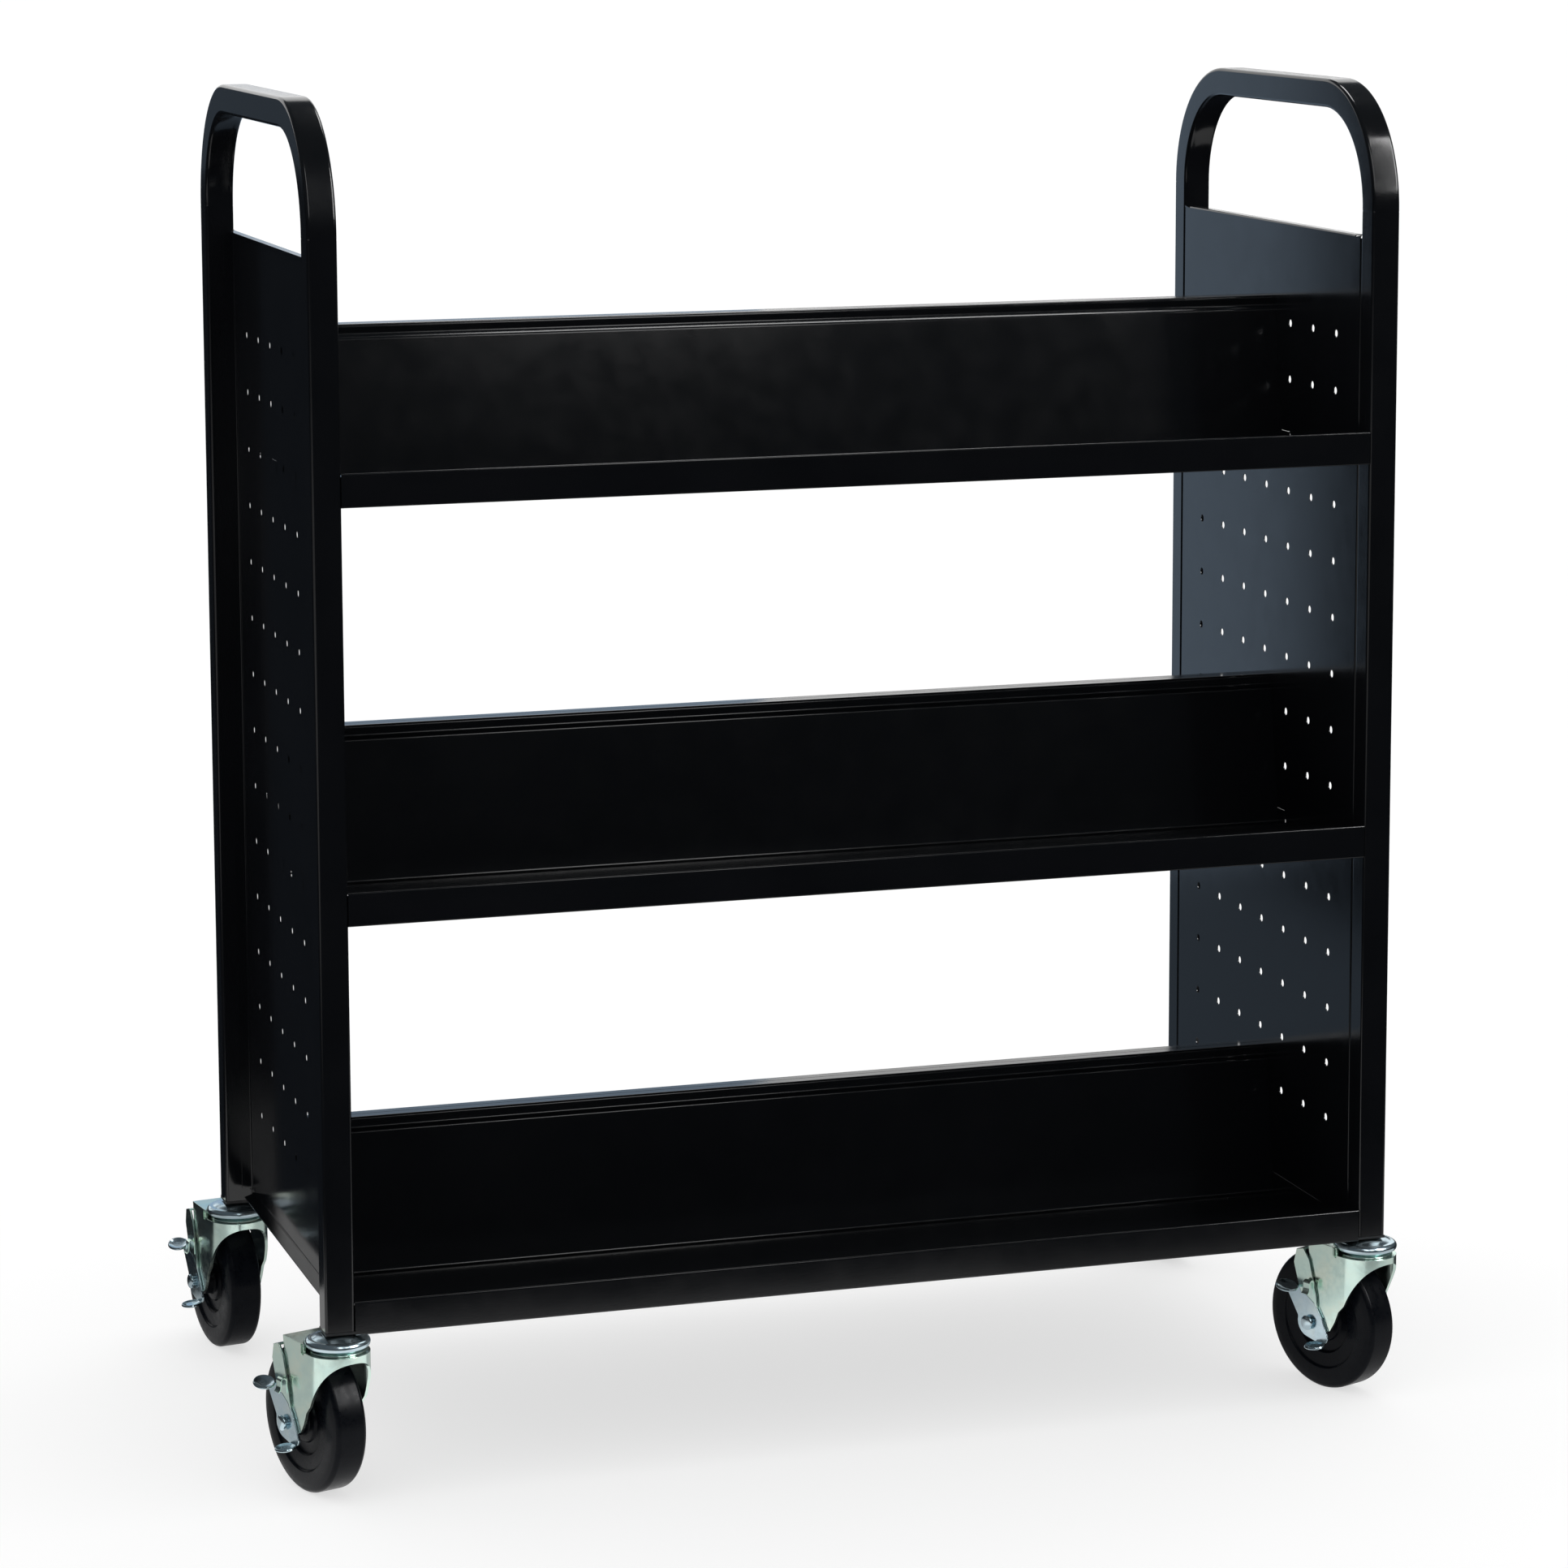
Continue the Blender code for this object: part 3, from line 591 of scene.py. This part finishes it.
def tab_mesh():
    """Bent end tab that hooks a shelf through the panel's slot, about the slot's centre."""
    profile = [(-0.0060, -TAB_HEIGHT / 2), (TAB_REACH, -TAB_HEIGHT / 2), (TAB_REACH, TAB_HEIGHT / 2)]
    bm = bmesh.new()
    row = [bm.verts.new((x, -TAB_WIDTH / 2, z)) for x, z in rounded_line(profile, [0.0006])]
    edges = [bm.edges.new(pair) for pair in zip(row, row[1:])]
    made = bmesh.ops.extrude_edge_only(bm, edges=edges)["geom"]
    for vert in [item for item in made if isinstance(item, bmesh.types.BMVert)]:
        vert.co.y = TAB_WIDTH / 2
    bmesh.ops.recalc_face_normals(bm, faces=bm.faces)
    return worked("shelf_tab", bm, [thicken(0.0012, 0.0), ease(0.0003)])


def gusset_mesh():
    """Upright end plate that closes the wedge between the bottom deck and the panel's lower edge."""
    rise = (-SHELF_FRONT_Y - JUNCTION_Y) / DECK_DROP
    top = PANEL_LOW.z + 0.0015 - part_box("shelf_bottom_front")[0].z - LIP_HEIGHT
    front_y = SHELF_FRONT_Y - top * rise
    low = -DECK_DROP - SHELF_SHEET
    outline = [(front_y, top), (-JUNCTION_Y, low), (-JUNCTION_Y + 0.0030, top)]
    bm = bmesh.new()
    bm.faces.new([bm.verts.new((0.0, y, z)) for y, z in outline])
    return worked("shelf_gusset", bm, [thicken(0.0010, 0.0)])


def build_shelves(paint):
    shelf, tab, gusset = shelf_mesh(), tab_mesh(), gusset_mesh()
    for tier in TIERS:
        lip_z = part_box(f"shelf_{tier}_front")[0].z + LIP_HEIGHT
        middle = Matrix.Translation((CENTRE_X, CENTRE_Y, lip_z))
        for name, turn in (("front", 0.0), ("rear", math.pi)):
            matrix = middle @ Matrix.Rotation(turn, 4, "Z")
            node = f"shelf_{tier}_{name}"
            put(f"{tier}_{name}_shelf", shelf, paint, "frame", matrix, node)
            for side, end in ((-1, "left"), (1, "right")):
                corner = (side * SHELF_HALF_LENGTH, -SLOT_Y, SLOT_HEIGHT / 2 - DECK_DROP - SLOT_BELOW_CORNER)
                facing = Matrix.Translation(corner) @ Matrix.Diagonal((side, 1, 1, 1))
                if tier == "bottom":
                    at_end = Matrix.Translation((side * (SHELF_HALF_LENGTH - 0.0005), 0, 0))
                    put(f"{name}_{end}_gusset", gusset, paint, "frame", matrix @ at_end)
                else:
                    put(f"{tier}_{name}_{end}_tab", tab, paint, "frame", matrix @ facing)


# Casters, in their own frame: +x to the trailing side, +y to the brake's side


def stem_cap_mesh():
    """Stem, domed dust cap with a thick rolled rim, and the kingpin's rivet head."""
    rim = arc((0.0238, 0.1391), 0.0040, 100, -80, 16)
    profile = [(0.0, 0.172), (0.0046, 0.172), (0.0055, 0.1711), (0.0055, 0.1482)]
    profile += [(0.0060, 0.1470), (0.0078, 0.1466), (0.0140, 0.1460), (0.0190, 0.1447), (0.0215, 0.1434)]
    profile += rim
    profile += [(0.0236, 0.1356), (0.0228, 0.1385), (0.0045, 0.1385), (0.0045, 0.1283)]
    profile += [(0.0088, 0.1283), (0.0090, 0.1276), (0.0075, 0.1263), (0.0, 0.1260)]
    return turned("stem_cap", profile)


def race_ring_mesh():
    """Low round shoulder of the ball race, between the fork's crown and the dust cap."""
    profile = [(0.0180, 0.1372), (0.0200, 0.1372), (0.0206, 0.1350), (0.0222, 0.1334)]
    profile += arc((0.0232, 0.1325), 0.0008, 95, -30, 6)
    profile += [(0.0240, 0.1318), (0.0180, 0.1318)]
    return turned("race_ring", profile, closed=True)


def leg_outline(trail):
    """Lower and rear edge of a fork leg as (x, z), from the skirt's end round the axle and up to the land."""
    front = [(0.0065, 0.0795), (0.0110, 0.0690), (0.0165, 0.0600)]
    boss = arc((trail, WHEEL_RADIUS), 0.0115, 240, 375, 14)
    notch = [(0.0405, 0.0950), (0.0350, 0.1000), (0.0350, 0.1055), (0.0405, 0.1065)]
    return front + boss + notch


def fork_surface(trail):
    """Outer skin of the fork: dished crown, raised land at the rear, round skirt in front, two legs."""
    bm = bmesh.new()
    reach_deg = math.degrees(math.acos(LAND_FRONT_X / DISH_RADIUS))
    dish = arc((0, 0), DISH_RADIUS, reach_deg, -reach_deg, 18)
    dish_high = [bm.verts.new((x, y, LAND_Z)) for x, y in dish]
    dish_low = [bm.verts.new((x, y, CROWN_Z)) for x, y in dish]
    for i in range(len(dish) - 1):
        bm.faces.new((dish_high[i], dish_low[i], dish_low[i + 1], dish_high[i + 1]))
    corners = {}
    for side in (1, -1):
        y = side * FORK_RADIUS
        corners[side] = {
            "rear": bm.verts.new((FORK_REAR, y, LAND_Z)),
            "high": bm.verts.new((LAND_FRONT_X, y, LAND_Z)),
            "low": bm.verts.new((LAND_FRONT_X, y, CROWN_Z)),
        }
        end = 0 if side > 0 else -1
        bm.faces.new((dish_high[end], corners[side]["high"], corners[side]["low"], dish_low[end]))
    land = [corners[1]["rear"], corners[1]["high"], *dish_high, corners[-1]["high"], corners[-1]["rear"]]
    bm.faces.new(land)
    round_front = arc((0, 0), FORK_RADIUS, 90, 270, SKIRT_STEPS)
    skirt_top = [bm.verts.new((x, y, CROWN_Z)) for x, y in round_front]
    bm.faces.new([corners[1]["low"], *skirt_top, corners[-1]["low"], *reversed(dish_low)])
    middle = SKIRT_STEPS / 2
    skirt_low = []
    for index, vert in enumerate(skirt_top):
        share = abs(index - middle) / middle
        height = SKIRT_FRONT_Z - (SKIRT_FRONT_Z - SKIRT_SIDE_Z) * share**2.35
        skirt_low.append(bm.verts.new((vert.co.x, vert.co.y, height)))
    for i in range(len(skirt_top) - 1):
        bm.faces.new((skirt_top[i], skirt_low[i], skirt_low[i + 1], skirt_top[i + 1]))
    for side, top, low in ((1, skirt_top[0], skirt_low[0]), (-1, skirt_top[-1], skirt_low[-1])):
        edge = [bm.verts.new((x, side * FORK_RADIUS, z)) for x, z in leg_outline(trail)]
        bm.faces.new([corners[side]["rear"], corners[side]["high"], corners[side]["low"], top, low, *edge])
    bmesh.ops.recalc_face_normals(bm, faces=bm.faces)
    crown = max(bm.faces, key=lambda face: face.calc_area() * abs(face.normal.z))
    if crown.normal.z < 0:
        bmesh.ops.reverse_faces(bm, faces=bm.faces)
    return bm


def fork_mesh(trail):
    kingpin = rod_bmesh(KINGPIN_HOLE_RADIUS, (0, 0, CROWN_Z - 0.01), (0, 0, CROWN_Z + 0.01), 32)
    axle = rod_bmesh(AXLE_HOLE_RADIUS, (trail, -0.04, WHEEL_RADIUS), (trail, 0.04, WHEEL_RADIUS), 32)
    steps = [fold(0.0016), thicken(FORK_SHEET), cut(kingpin), cut(axle), ease(0.0004)]
    return worked("fork", fork_surface(trail), steps)


def wheel_mesh():
    """Solid wheel about Z: hub, web stepped twice, tyre with small round shoulders."""
    side = [(0.0062, 0.0226), (0.0112, 0.0226), (0.0124, 0.0220), (0.0130, 0.0208), (0.0134, 0.0150)]
    side += [(0.0144, 0.0134), (0.0190, 0.0130), (0.0200, 0.0124), (0.0206, 0.0106), (0.0216, 0.0098)]
    side += [(0.0290, 0.0096), (0.0302, 0.0101), (0.0308, 0.0122), (0.0318, 0.0130), (0.0425, 0.0133)]
    side += [(0.0438, 0.0137), (0.0444, 0.0150), (0.0456, 0.0156), (0.0540, 0.0157), (0.0572, 0.0150)]
    side += arc((0.0586, 0.0098), 0.0049, 78, 8, 8)
    side += [(WHEEL_RADIUS, 0.0040)]
    profile = side + [(radius, -z) for radius, z in reversed(side)]
    return turned("wheel", profile, WHEEL_STEPS, closed=True)


def bolt_mesh():
    """Axle bolt about Z with a domed head on the brake's side."""
    head = BOLT_HEAD_Y
    dome = [(0.0066 * math.sin(a), head + 0.0004 + 0.0020 * math.cos(a)) for a in
            [math.pi / 2 * index / 8 for index in range(9)]]
    profile = dome + [(0.0066, head - 0.0003), (BOLT_RADIUS, head - 0.0003)]
    profile.append((BOLT_RADIUS, -BOLT_TAIL + 0.0008))
    profile += [(BOLT_RADIUS - 0.0008, -BOLT_TAIL), (0.0, -BOLT_TAIL)]
    return turned("axle_bolt", profile, 48)


def plate_bmesh(outline, y):
    """A flat face in the plane of the wheel, its normal to +y."""
    bm = bmesh.new()
    bm.faces.new([bm.verts.new((x, y, z)) for x, z in outline])
    bm.faces.ensure_lookup_table()
    if bm.faces[0].normal.y < 0:
        bmesh.ops.reverse_faces(bm, faces=bm.faces)
    return bm


def pedal_mesh(first, second, reach, tilt_deg):
    """A dished oval foot pad standing out along +y from the edge between two (x, z) points."""
    start, end = Vector((first[0], 0, first[1])), Vector((second[0], 0, second[1]))
    along = (end - start).normalized()
    tilt = math.radians(tilt_deg)
    across = Vector((0, math.cos(tilt), math.sin(tilt)))
    down = along.cross(across).normalized()
    down *= -1 if down.z > 0 else 1
    half_length, half_reach = (end - start).length * 0.64, reach / 2 + 0.001
    middle = (start + end) / 2 + Vector((0, LEVER_Y + reach / 2, 0))
    bm = bmesh.new()
    rings = []
    for share in (1.0, 0.88, 0.70, 0.45):
        sink = PEDAL_DISH * (1 - share**2)
        angles = [math.tau * index / 36 for index in range(36)]
        ring = [
            middle + along * half_length * share * math.cos(a) + across * half_reach * share * math.sin(a)
            for a in angles
        ]
        rings.append([bm.verts.new(point + down * sink) for point in ring])
    for outer, inner in zip(rings, rings[1:]):
        for i in range(len(outer)):
            bm.faces.new((outer[i - 1], outer[i], inner[i], inner[i - 1]))
    bm.faces.new(rings[-1])
    bmesh.ops.recalc_face_normals(bm, faces=bm.faces)
    bm.faces.ensure_lookup_table()
    if bm.faces[-1].normal.dot(down) > 0:
        bmesh.ops.reverse_faces(bm, faces=bm.faces)
    return worked("pedal", bm, [thicken(PEDAL_SHEET), ease(0.0006, 3, 60)])


def lever_mesh():
    """Brake lever about the axle: round eye, arm, dished foot pedal and the release pedal low in front."""
    pedal = [(0.0288, 0.0340), (0.0120, 0.0310)]
    front_side = [(0.0100, 0.0250), (0.0035, 0.0250), (-0.0065, 0.0190), (-0.0150, 0.0070)]
    release = [(-0.0235, -0.0105), (-0.0215, -0.0155), (-0.0075, -0.0158)]
    eye = arc((0, 0), 0.0140, -85, 15, 6)
    outline = rounded_loop(pedal + front_side + release + eye + [(0.0292, 0.0270)], 0.004, 4)
    hole = rod_bmesh(AXLE_HOLE_RADIUS, (0, LEVER_Y - 0.01, 0), (0, LEVER_Y + 0.01, 0), 28)
    steps = [thicken(LEVER_SHEET, 1.0), cut(hole), ease(0.0005, 3, 50)]
    plate = worked("lever_plate", plate_bmesh(outline, LEVER_Y), steps)
    whole = bmesh.new()
    for mesh in (plate, pedal_mesh(*pedal, 0.0150, -10), pedal_mesh(*release[1:], 0.0150, -6)):
        whole.from_mesh(mesh)
    return worked("brake_lever", whole, [])


def shoe_mesh(trail):
    """Brake shoe: a strip over the tread joined to two cheeks, the near one reaching down round the axle."""
    strip = [(0.0475, 0.1290), (0.0560, 0.1268)]
    rear_side = [(0.0600, 0.1155), (0.0545, 0.0985), (0.0510, 0.0800), (0.0500, 0.0600)]
    foot = [(0.0450, 0.0520), (0.0330, 0.0520)]
    front_side = [(0.0290, 0.0640), (0.0320, 0.0900), (0.0410, 0.1210)]
    bm = bmesh.new()
    near = [bm.verts.new((x, SHOE_Y, z)) for x, z in strip + rear_side + foot + front_side]
    far = [bm.verts.new((x, -SHOE_Y, z)) for x, z in strip + [(0.0600, 0.1155), (0.0450, 0.1160)]]
    bm.faces.new(near)
    bm.faces.new(far)
    bm.faces.new((near[0], near[1], far[1], far[0]))
    bmesh.ops.recalc_face_normals(bm, faces=bm.faces)
    bm.faces.ensure_lookup_table()
    if bm.faces[0].normal.y < 0:
        bmesh.ops.reverse_faces(bm, faces=bm.faces)
    ends = ((trail, SHOE_Y - 0.01, WHEEL_RADIUS), (trail, SHOE_Y + 0.01, WHEEL_RADIUS))
    hole = rod_bmesh(SHOE_HOLE_RADIUS, *ends, 32)
    return worked("brake_shoe", bm, [thicken(SHOE_SHEET, 1.0), cut(hole), ease(0.0005, 3, 40)])


def spring_mesh():
    """Bent strip spring on the shoe beside the fork's notch, its tongue curling outwards."""
    line = [(0.0303, 0.0905), (0.0303, 0.1010)]
    line += arc((0.0330, 0.1010), 0.0027, 180, 0, 12)[1:]
    line += [(0.0357, 0.0975), (0.0364, 0.0940), (0.0382, 0.0918)]
    bm = bmesh.new()
    row = [bm.verts.new((NOTCH_X - SPRING_WIDTH / 2, y, z)) for y, z in line]
    edges = [bm.edges.new(pair) for pair in zip(row, row[1:])]
    made = bmesh.ops.extrude_edge_only(bm, edges=edges)["geom"]
    for vert in [item for item in made if isinstance(item, bmesh.types.BMVert)]:
        vert.co.x = NOTCH_X + SPRING_WIDTH / 2
    bmesh.ops.recalc_face_normals(bm, faces=bm.faces)
    return worked("brake_spring", bm, [thicken(0.0009, 0.0), ease(0.0002)])


def build_casters(zinc, blue_zinc, rubber, plastic):
    swivel_joint = JOINTS["caster_swivel_front_left"]["pos_m"]
    axle_joint = JOINTS["wheel_spin_front_left"]["pos_m"]
    trail = math.hypot(axle_joint[0] - swivel_joint[0], axle_joint[1] - swivel_joint[1])
    cap, ring, fork = stem_cap_mesh(), race_ring_mesh(), fork_mesh(trail)
    wheel, bolt, lever, shoe = wheel_mesh(), bolt_mesh(), lever_mesh(), shoe_mesh(trail)
    spring = spring_mesh()
    about_y = Matrix.Rotation(-math.pi / 2, 4, "X")
    for corner in CORNERS:
        foot = Vector(JOINTS[f"caster_swivel_{corner}"]["pos_m"]) * Vector((1, 1, 0))
        axle = JOINTS[f"wheel_spin_{corner}"]["axis"]
        heading = math.atan2(-axle[0], axle[1])
        base = Matrix.Translation(foot) @ Matrix.Rotation(heading, 4, "Z")
        hub = base @ Matrix.Translation((trail, 0, WHEEL_RADIUS))
        swivel = f"swivel_{corner}"
        put(f"dust_cap_{corner}", cap, blue_zinc, "frame", base, f"stem_cap_{corner}")
        put(f"ball_race_{corner}", ring, zinc, swivel, base, f"race_ring_{corner}")
        put(f"caster_fork_{corner}", fork, zinc, swivel, base, f"fork_{corner}")
        put(f"bolt_{corner}", bolt, blue_zinc, swivel, hub @ about_y, f"axle_bolt_{corner}")
        put(f"brake_spring_{corner}", spring, zinc, f"brake_pad_{corner}", base)
        body = f"rolling_wheel_{corner}"
        put(f"tyre_{corner}", wheel, rubber, body, hub @ about_y, f"wheel_{corner}")
        body = f"brake_pedal_{corner}"
        put(f"lever_{corner}", lever, blue_zinc, body, hub, f"brake_lever_{corner}")
        body = f"brake_pad_{corner}"
        put(f"shoe_{corner}", shoe, zinc, body, base, f"brake_shoe_{corner}")
        finish_cad_node(f"axle_nut_{corner}", zinc)
        finish_cad_node(f"axle_sleeve_{corner}", zinc)
        finish_cad_node(f"tube_insert_{corner}", plastic)


def finish_cad_node(name, material):
    """A carried-over node keeps its shape and gets its finish."""
    for slot in frame["nodes"][name].material_slots:
        slot.material = material


# Stage


def glow_card(name, corners, strength, colour=(1.0, 1.0, 1.0)):
    """A flat light that only reflections and bounced light see."""
    mesh = bpy.data.meshes.new(name)
    mesh.from_pydata(corners, [], [tuple(range(len(corners)))])
    card = bpy.data.objects.new(name, mesh)
    bpy.context.scene.collection.objects.link(card)
    material = bpy.data.materials.new(name)
    material.use_nodes = True
    tree = material.node_tree
    tree.nodes.clear()
    emission = tree.nodes.new("ShaderNodeEmission")
    emission.inputs["Color"].default_value = (*colour, 1.0)
    emission.inputs["Strength"].default_value = strength
    output = tree.nodes.new("ShaderNodeOutputMaterial")
    tree.links.new(emission.outputs["Emission"], output.inputs["Surface"])
    mesh.materials.append(material)
    card.visible_camera = False
    card.visible_diffuse = False
    card.visible_shadow = False
    return card


def build_world():
    """White to the eye and for diffuse light; reflections see a dark room that is paler overhead."""
    world = bpy.data.worlds.new("studio")
    bpy.context.scene.world = world
    world.use_nodes = True
    tree = world.node_tree
    tree.nodes.clear()
    path = tree.nodes.new("ShaderNodeLightPath")
    seen = tree.nodes.new("ShaderNodeBackground")
    seen.inputs["Color"].default_value = (1.0, 1.0, 1.0, 1.0)
    direction = tree.nodes.new("ShaderNodeTexCoord")
    split = tree.nodes.new("ShaderNodeSeparateXYZ")
    shade = tree.nodes.new("ShaderNodeValToRGB")
    shade.color_ramp.elements[0].position = 0.04
    shade.color_ramp.elements[0].color = (0.008, 0.010, 0.013, 1.0)
    shade.color_ramp.elements[1].position = 0.40
    shade.color_ramp.elements[1].color = (0.06, 0.07, 0.08, 1.0)
    mirrored = tree.nodes.new("ShaderNodeBackground")
    mix = tree.nodes.new("ShaderNodeMixShader")
    output = tree.nodes.new("ShaderNodeOutputWorld")
    tree.links.new(direction.outputs["Generated"], split.inputs["Vector"])
    tree.links.new(split.outputs["Z"], shade.inputs["Fac"])
    tree.links.new(shade.outputs["Color"], mirrored.inputs["Color"])
    tree.links.new(path.outputs["Is Glossy Ray"], mix.inputs["Fac"])
    tree.links.new(seen.outputs["Background"], mix.inputs[1])
    tree.links.new(mirrored.outputs["Background"], mix.inputs[2])
    tree.links.new(mix.outputs["Shader"], output.inputs["Surface"])


def build_floor():
    """Plain pale floor, lit a little from itself so that the shadow stays faint."""
    bm = bmesh.new()
    bmesh.ops.create_grid(bm, x_segments=1, y_segments=1, size=60.0)
    mesh = bpy.data.meshes.new("floor")
    bm.to_mesh(mesh)
    bm.free()
    floor = bpy.data.objects.new("floor", mesh)
    bpy.context.scene.collection.objects.link(floor)
    material = bpy.data.materials.new("pale_floor")
    material.use_nodes = True
    shader = material.node_tree.nodes["Principled BSDF"]
    shader.inputs["Base Color"].default_value = (0.38, 0.38, 0.38, 1.0)
    shader.inputs["Emission Color"].default_value = (1.0, 1.0, 1.0, 1.0)
    shader.inputs["Emission Strength"].default_value = 0.64
    shader.inputs["Roughness"].default_value = 0.9
    shader.inputs["Specular IOR Level"].default_value = 0.0
    mesh.materials.append(material)
    floor.visible_glossy = False


def floor_card(name, x_range, y_range, strength, colour):
    (x0, x1), (y0, y1), z = x_range, y_range, 0.001
    glow_card(name, [(x0, y0, z), (x1, y0, z), (x1, y1, z), (x0, y1, z)], strength, colour)


def wall_card(name, x_range, y, z_range, strength, colour):
    (x0, x1), (z0, z1) = x_range, z_range
    glow_card(name, [(x0, y, z0), (x1, y, z0), (x1, y, z1), (x0, y, z1)], strength, colour)


def build_lights():
    """A soft lamp for the shadows, and cards that the gloss and the zinc mirror."""
    data = bpy.data.lights.new("soft_lamp", "AREA")
    data.shape = "RECTANGLE"
    data.size, data.size_y = 3.0, 2.4
    data.energy = 14.0
    lamp = bpy.data.objects.new("soft_lamp", data)
    bpy.context.scene.collection.objects.link(lamp)
    lamp.location = (0.9, 0.2, 3.4)
    lamp.visible_glossy = False
    white, slate = (1.0, 1.0, 1.0), (0.60, 0.78, 1.0)
    wall_card("slate_wall", (-0.47, 0.62), 2.0, (0.0, 1.24), 0.61, slate)
    wall_card("high_wall", (-1.4, -0.47), 2.0, (0.98, 1.24), 0.10, slate)
    wall_card("backdrop", (-5.0, 6.0), 6.0, (1.42, 4.6), 1.2, white)
    floor_card("slate_floor", (-0.35, 0.55), (0.55, 2.0), 0.20, slate)
    floor_card("front_floor", (-1.1, 0.3), (-0.74, -0.15), 0.95, white)
    floor_card("front_right_floor", (0.3, 1.3), (-0.74, -0.15), 0.62, white)
    floor_card("under_floor", (-1.1, 0.6), (-0.15, 0.36), 0.45, white)
    floor_card("left_floor", (-7.0, -1.8), (-7.0, -1.0), 0.5, white)
    right = [(1.86, -3.0, 1.74), (3.2, -2.6, 1.74), (3.0, -1.2, 3.8), (1.8, -1.5, 3.8)]
    glow_card("right_softbox", right, 14.0)
    centre = [(0.45, -3.0, 1.78), (1.0, -3.0, 1.78), (1.0, -2.2, 3.2), (0.45, -2.2, 3.2)]
    glow_card("centre_softbox", centre, 3.0)
    left = [(-0.75, -3.4, 1.9), (-0.1, -3.4, 1.9), (-0.1, -2.0, 3.9), (-0.75, -2.0, 3.9)]
    glow_card("left_softbox", left, 3.0)
    above = [(0.35, 0.5, 3.5), (1.4, 0.5, 3.5), (1.4, 1.9, 3.5), (0.35, 1.9, 3.5)]
    glow_card("overhead_softbox", above, 6.0)


CAMERA_FROM_CART = (-1.304, -4.123, 1.3644)
CAMERA_YAW = 0.3048
CAMERA_PITCH = 0.1482
CAMERA_ROLL = -0.0032
CAMERA_LENS = 112.5
CAMERA_SHIFT_Y = -0.12


def build_camera():
    """Seen from the front left, a little above the handles, through a long lens."""
    data = bpy.data.cameras.new("camera")
    data.lens = CAMERA_LENS
    data.shift_y = CAMERA_SHIFT_Y
    camera = bpy.data.objects.new("camera", data)
    bpy.context.scene.collection.objects.link(camera)
    turn = Matrix.Rotation(-CAMERA_YAW, 4, "Z") @ Matrix.Rotation(math.pi / 2 - CAMERA_PITCH, 4, "X")
    place = Vector(CAMERA_FROM_CART) + Vector((CENTRE_X, CENTRE_Y, 0))
    camera.matrix_world = Matrix.Translation(place) @ turn @ Matrix.Rotation(CAMERA_ROLL, 4, "Z")
    bpy.context.scene.camera = camera


def main():
    paint = paint_material()
    build_ends(paint)
    build_shelves(paint)
    zinc = zinc_material("zinc_plate", FORK_TINTS)
    blue_zinc = zinc_material("blue_zinc_plate", LEVER_TINTS)
    build_casters(zinc, blue_zinc, rubber_material(), plastic_material())
    build_world()
    build_floor()
    build_lights()
    build_camera()
    bpy.context.scene.view_settings.view_transform = "Standard"


main()
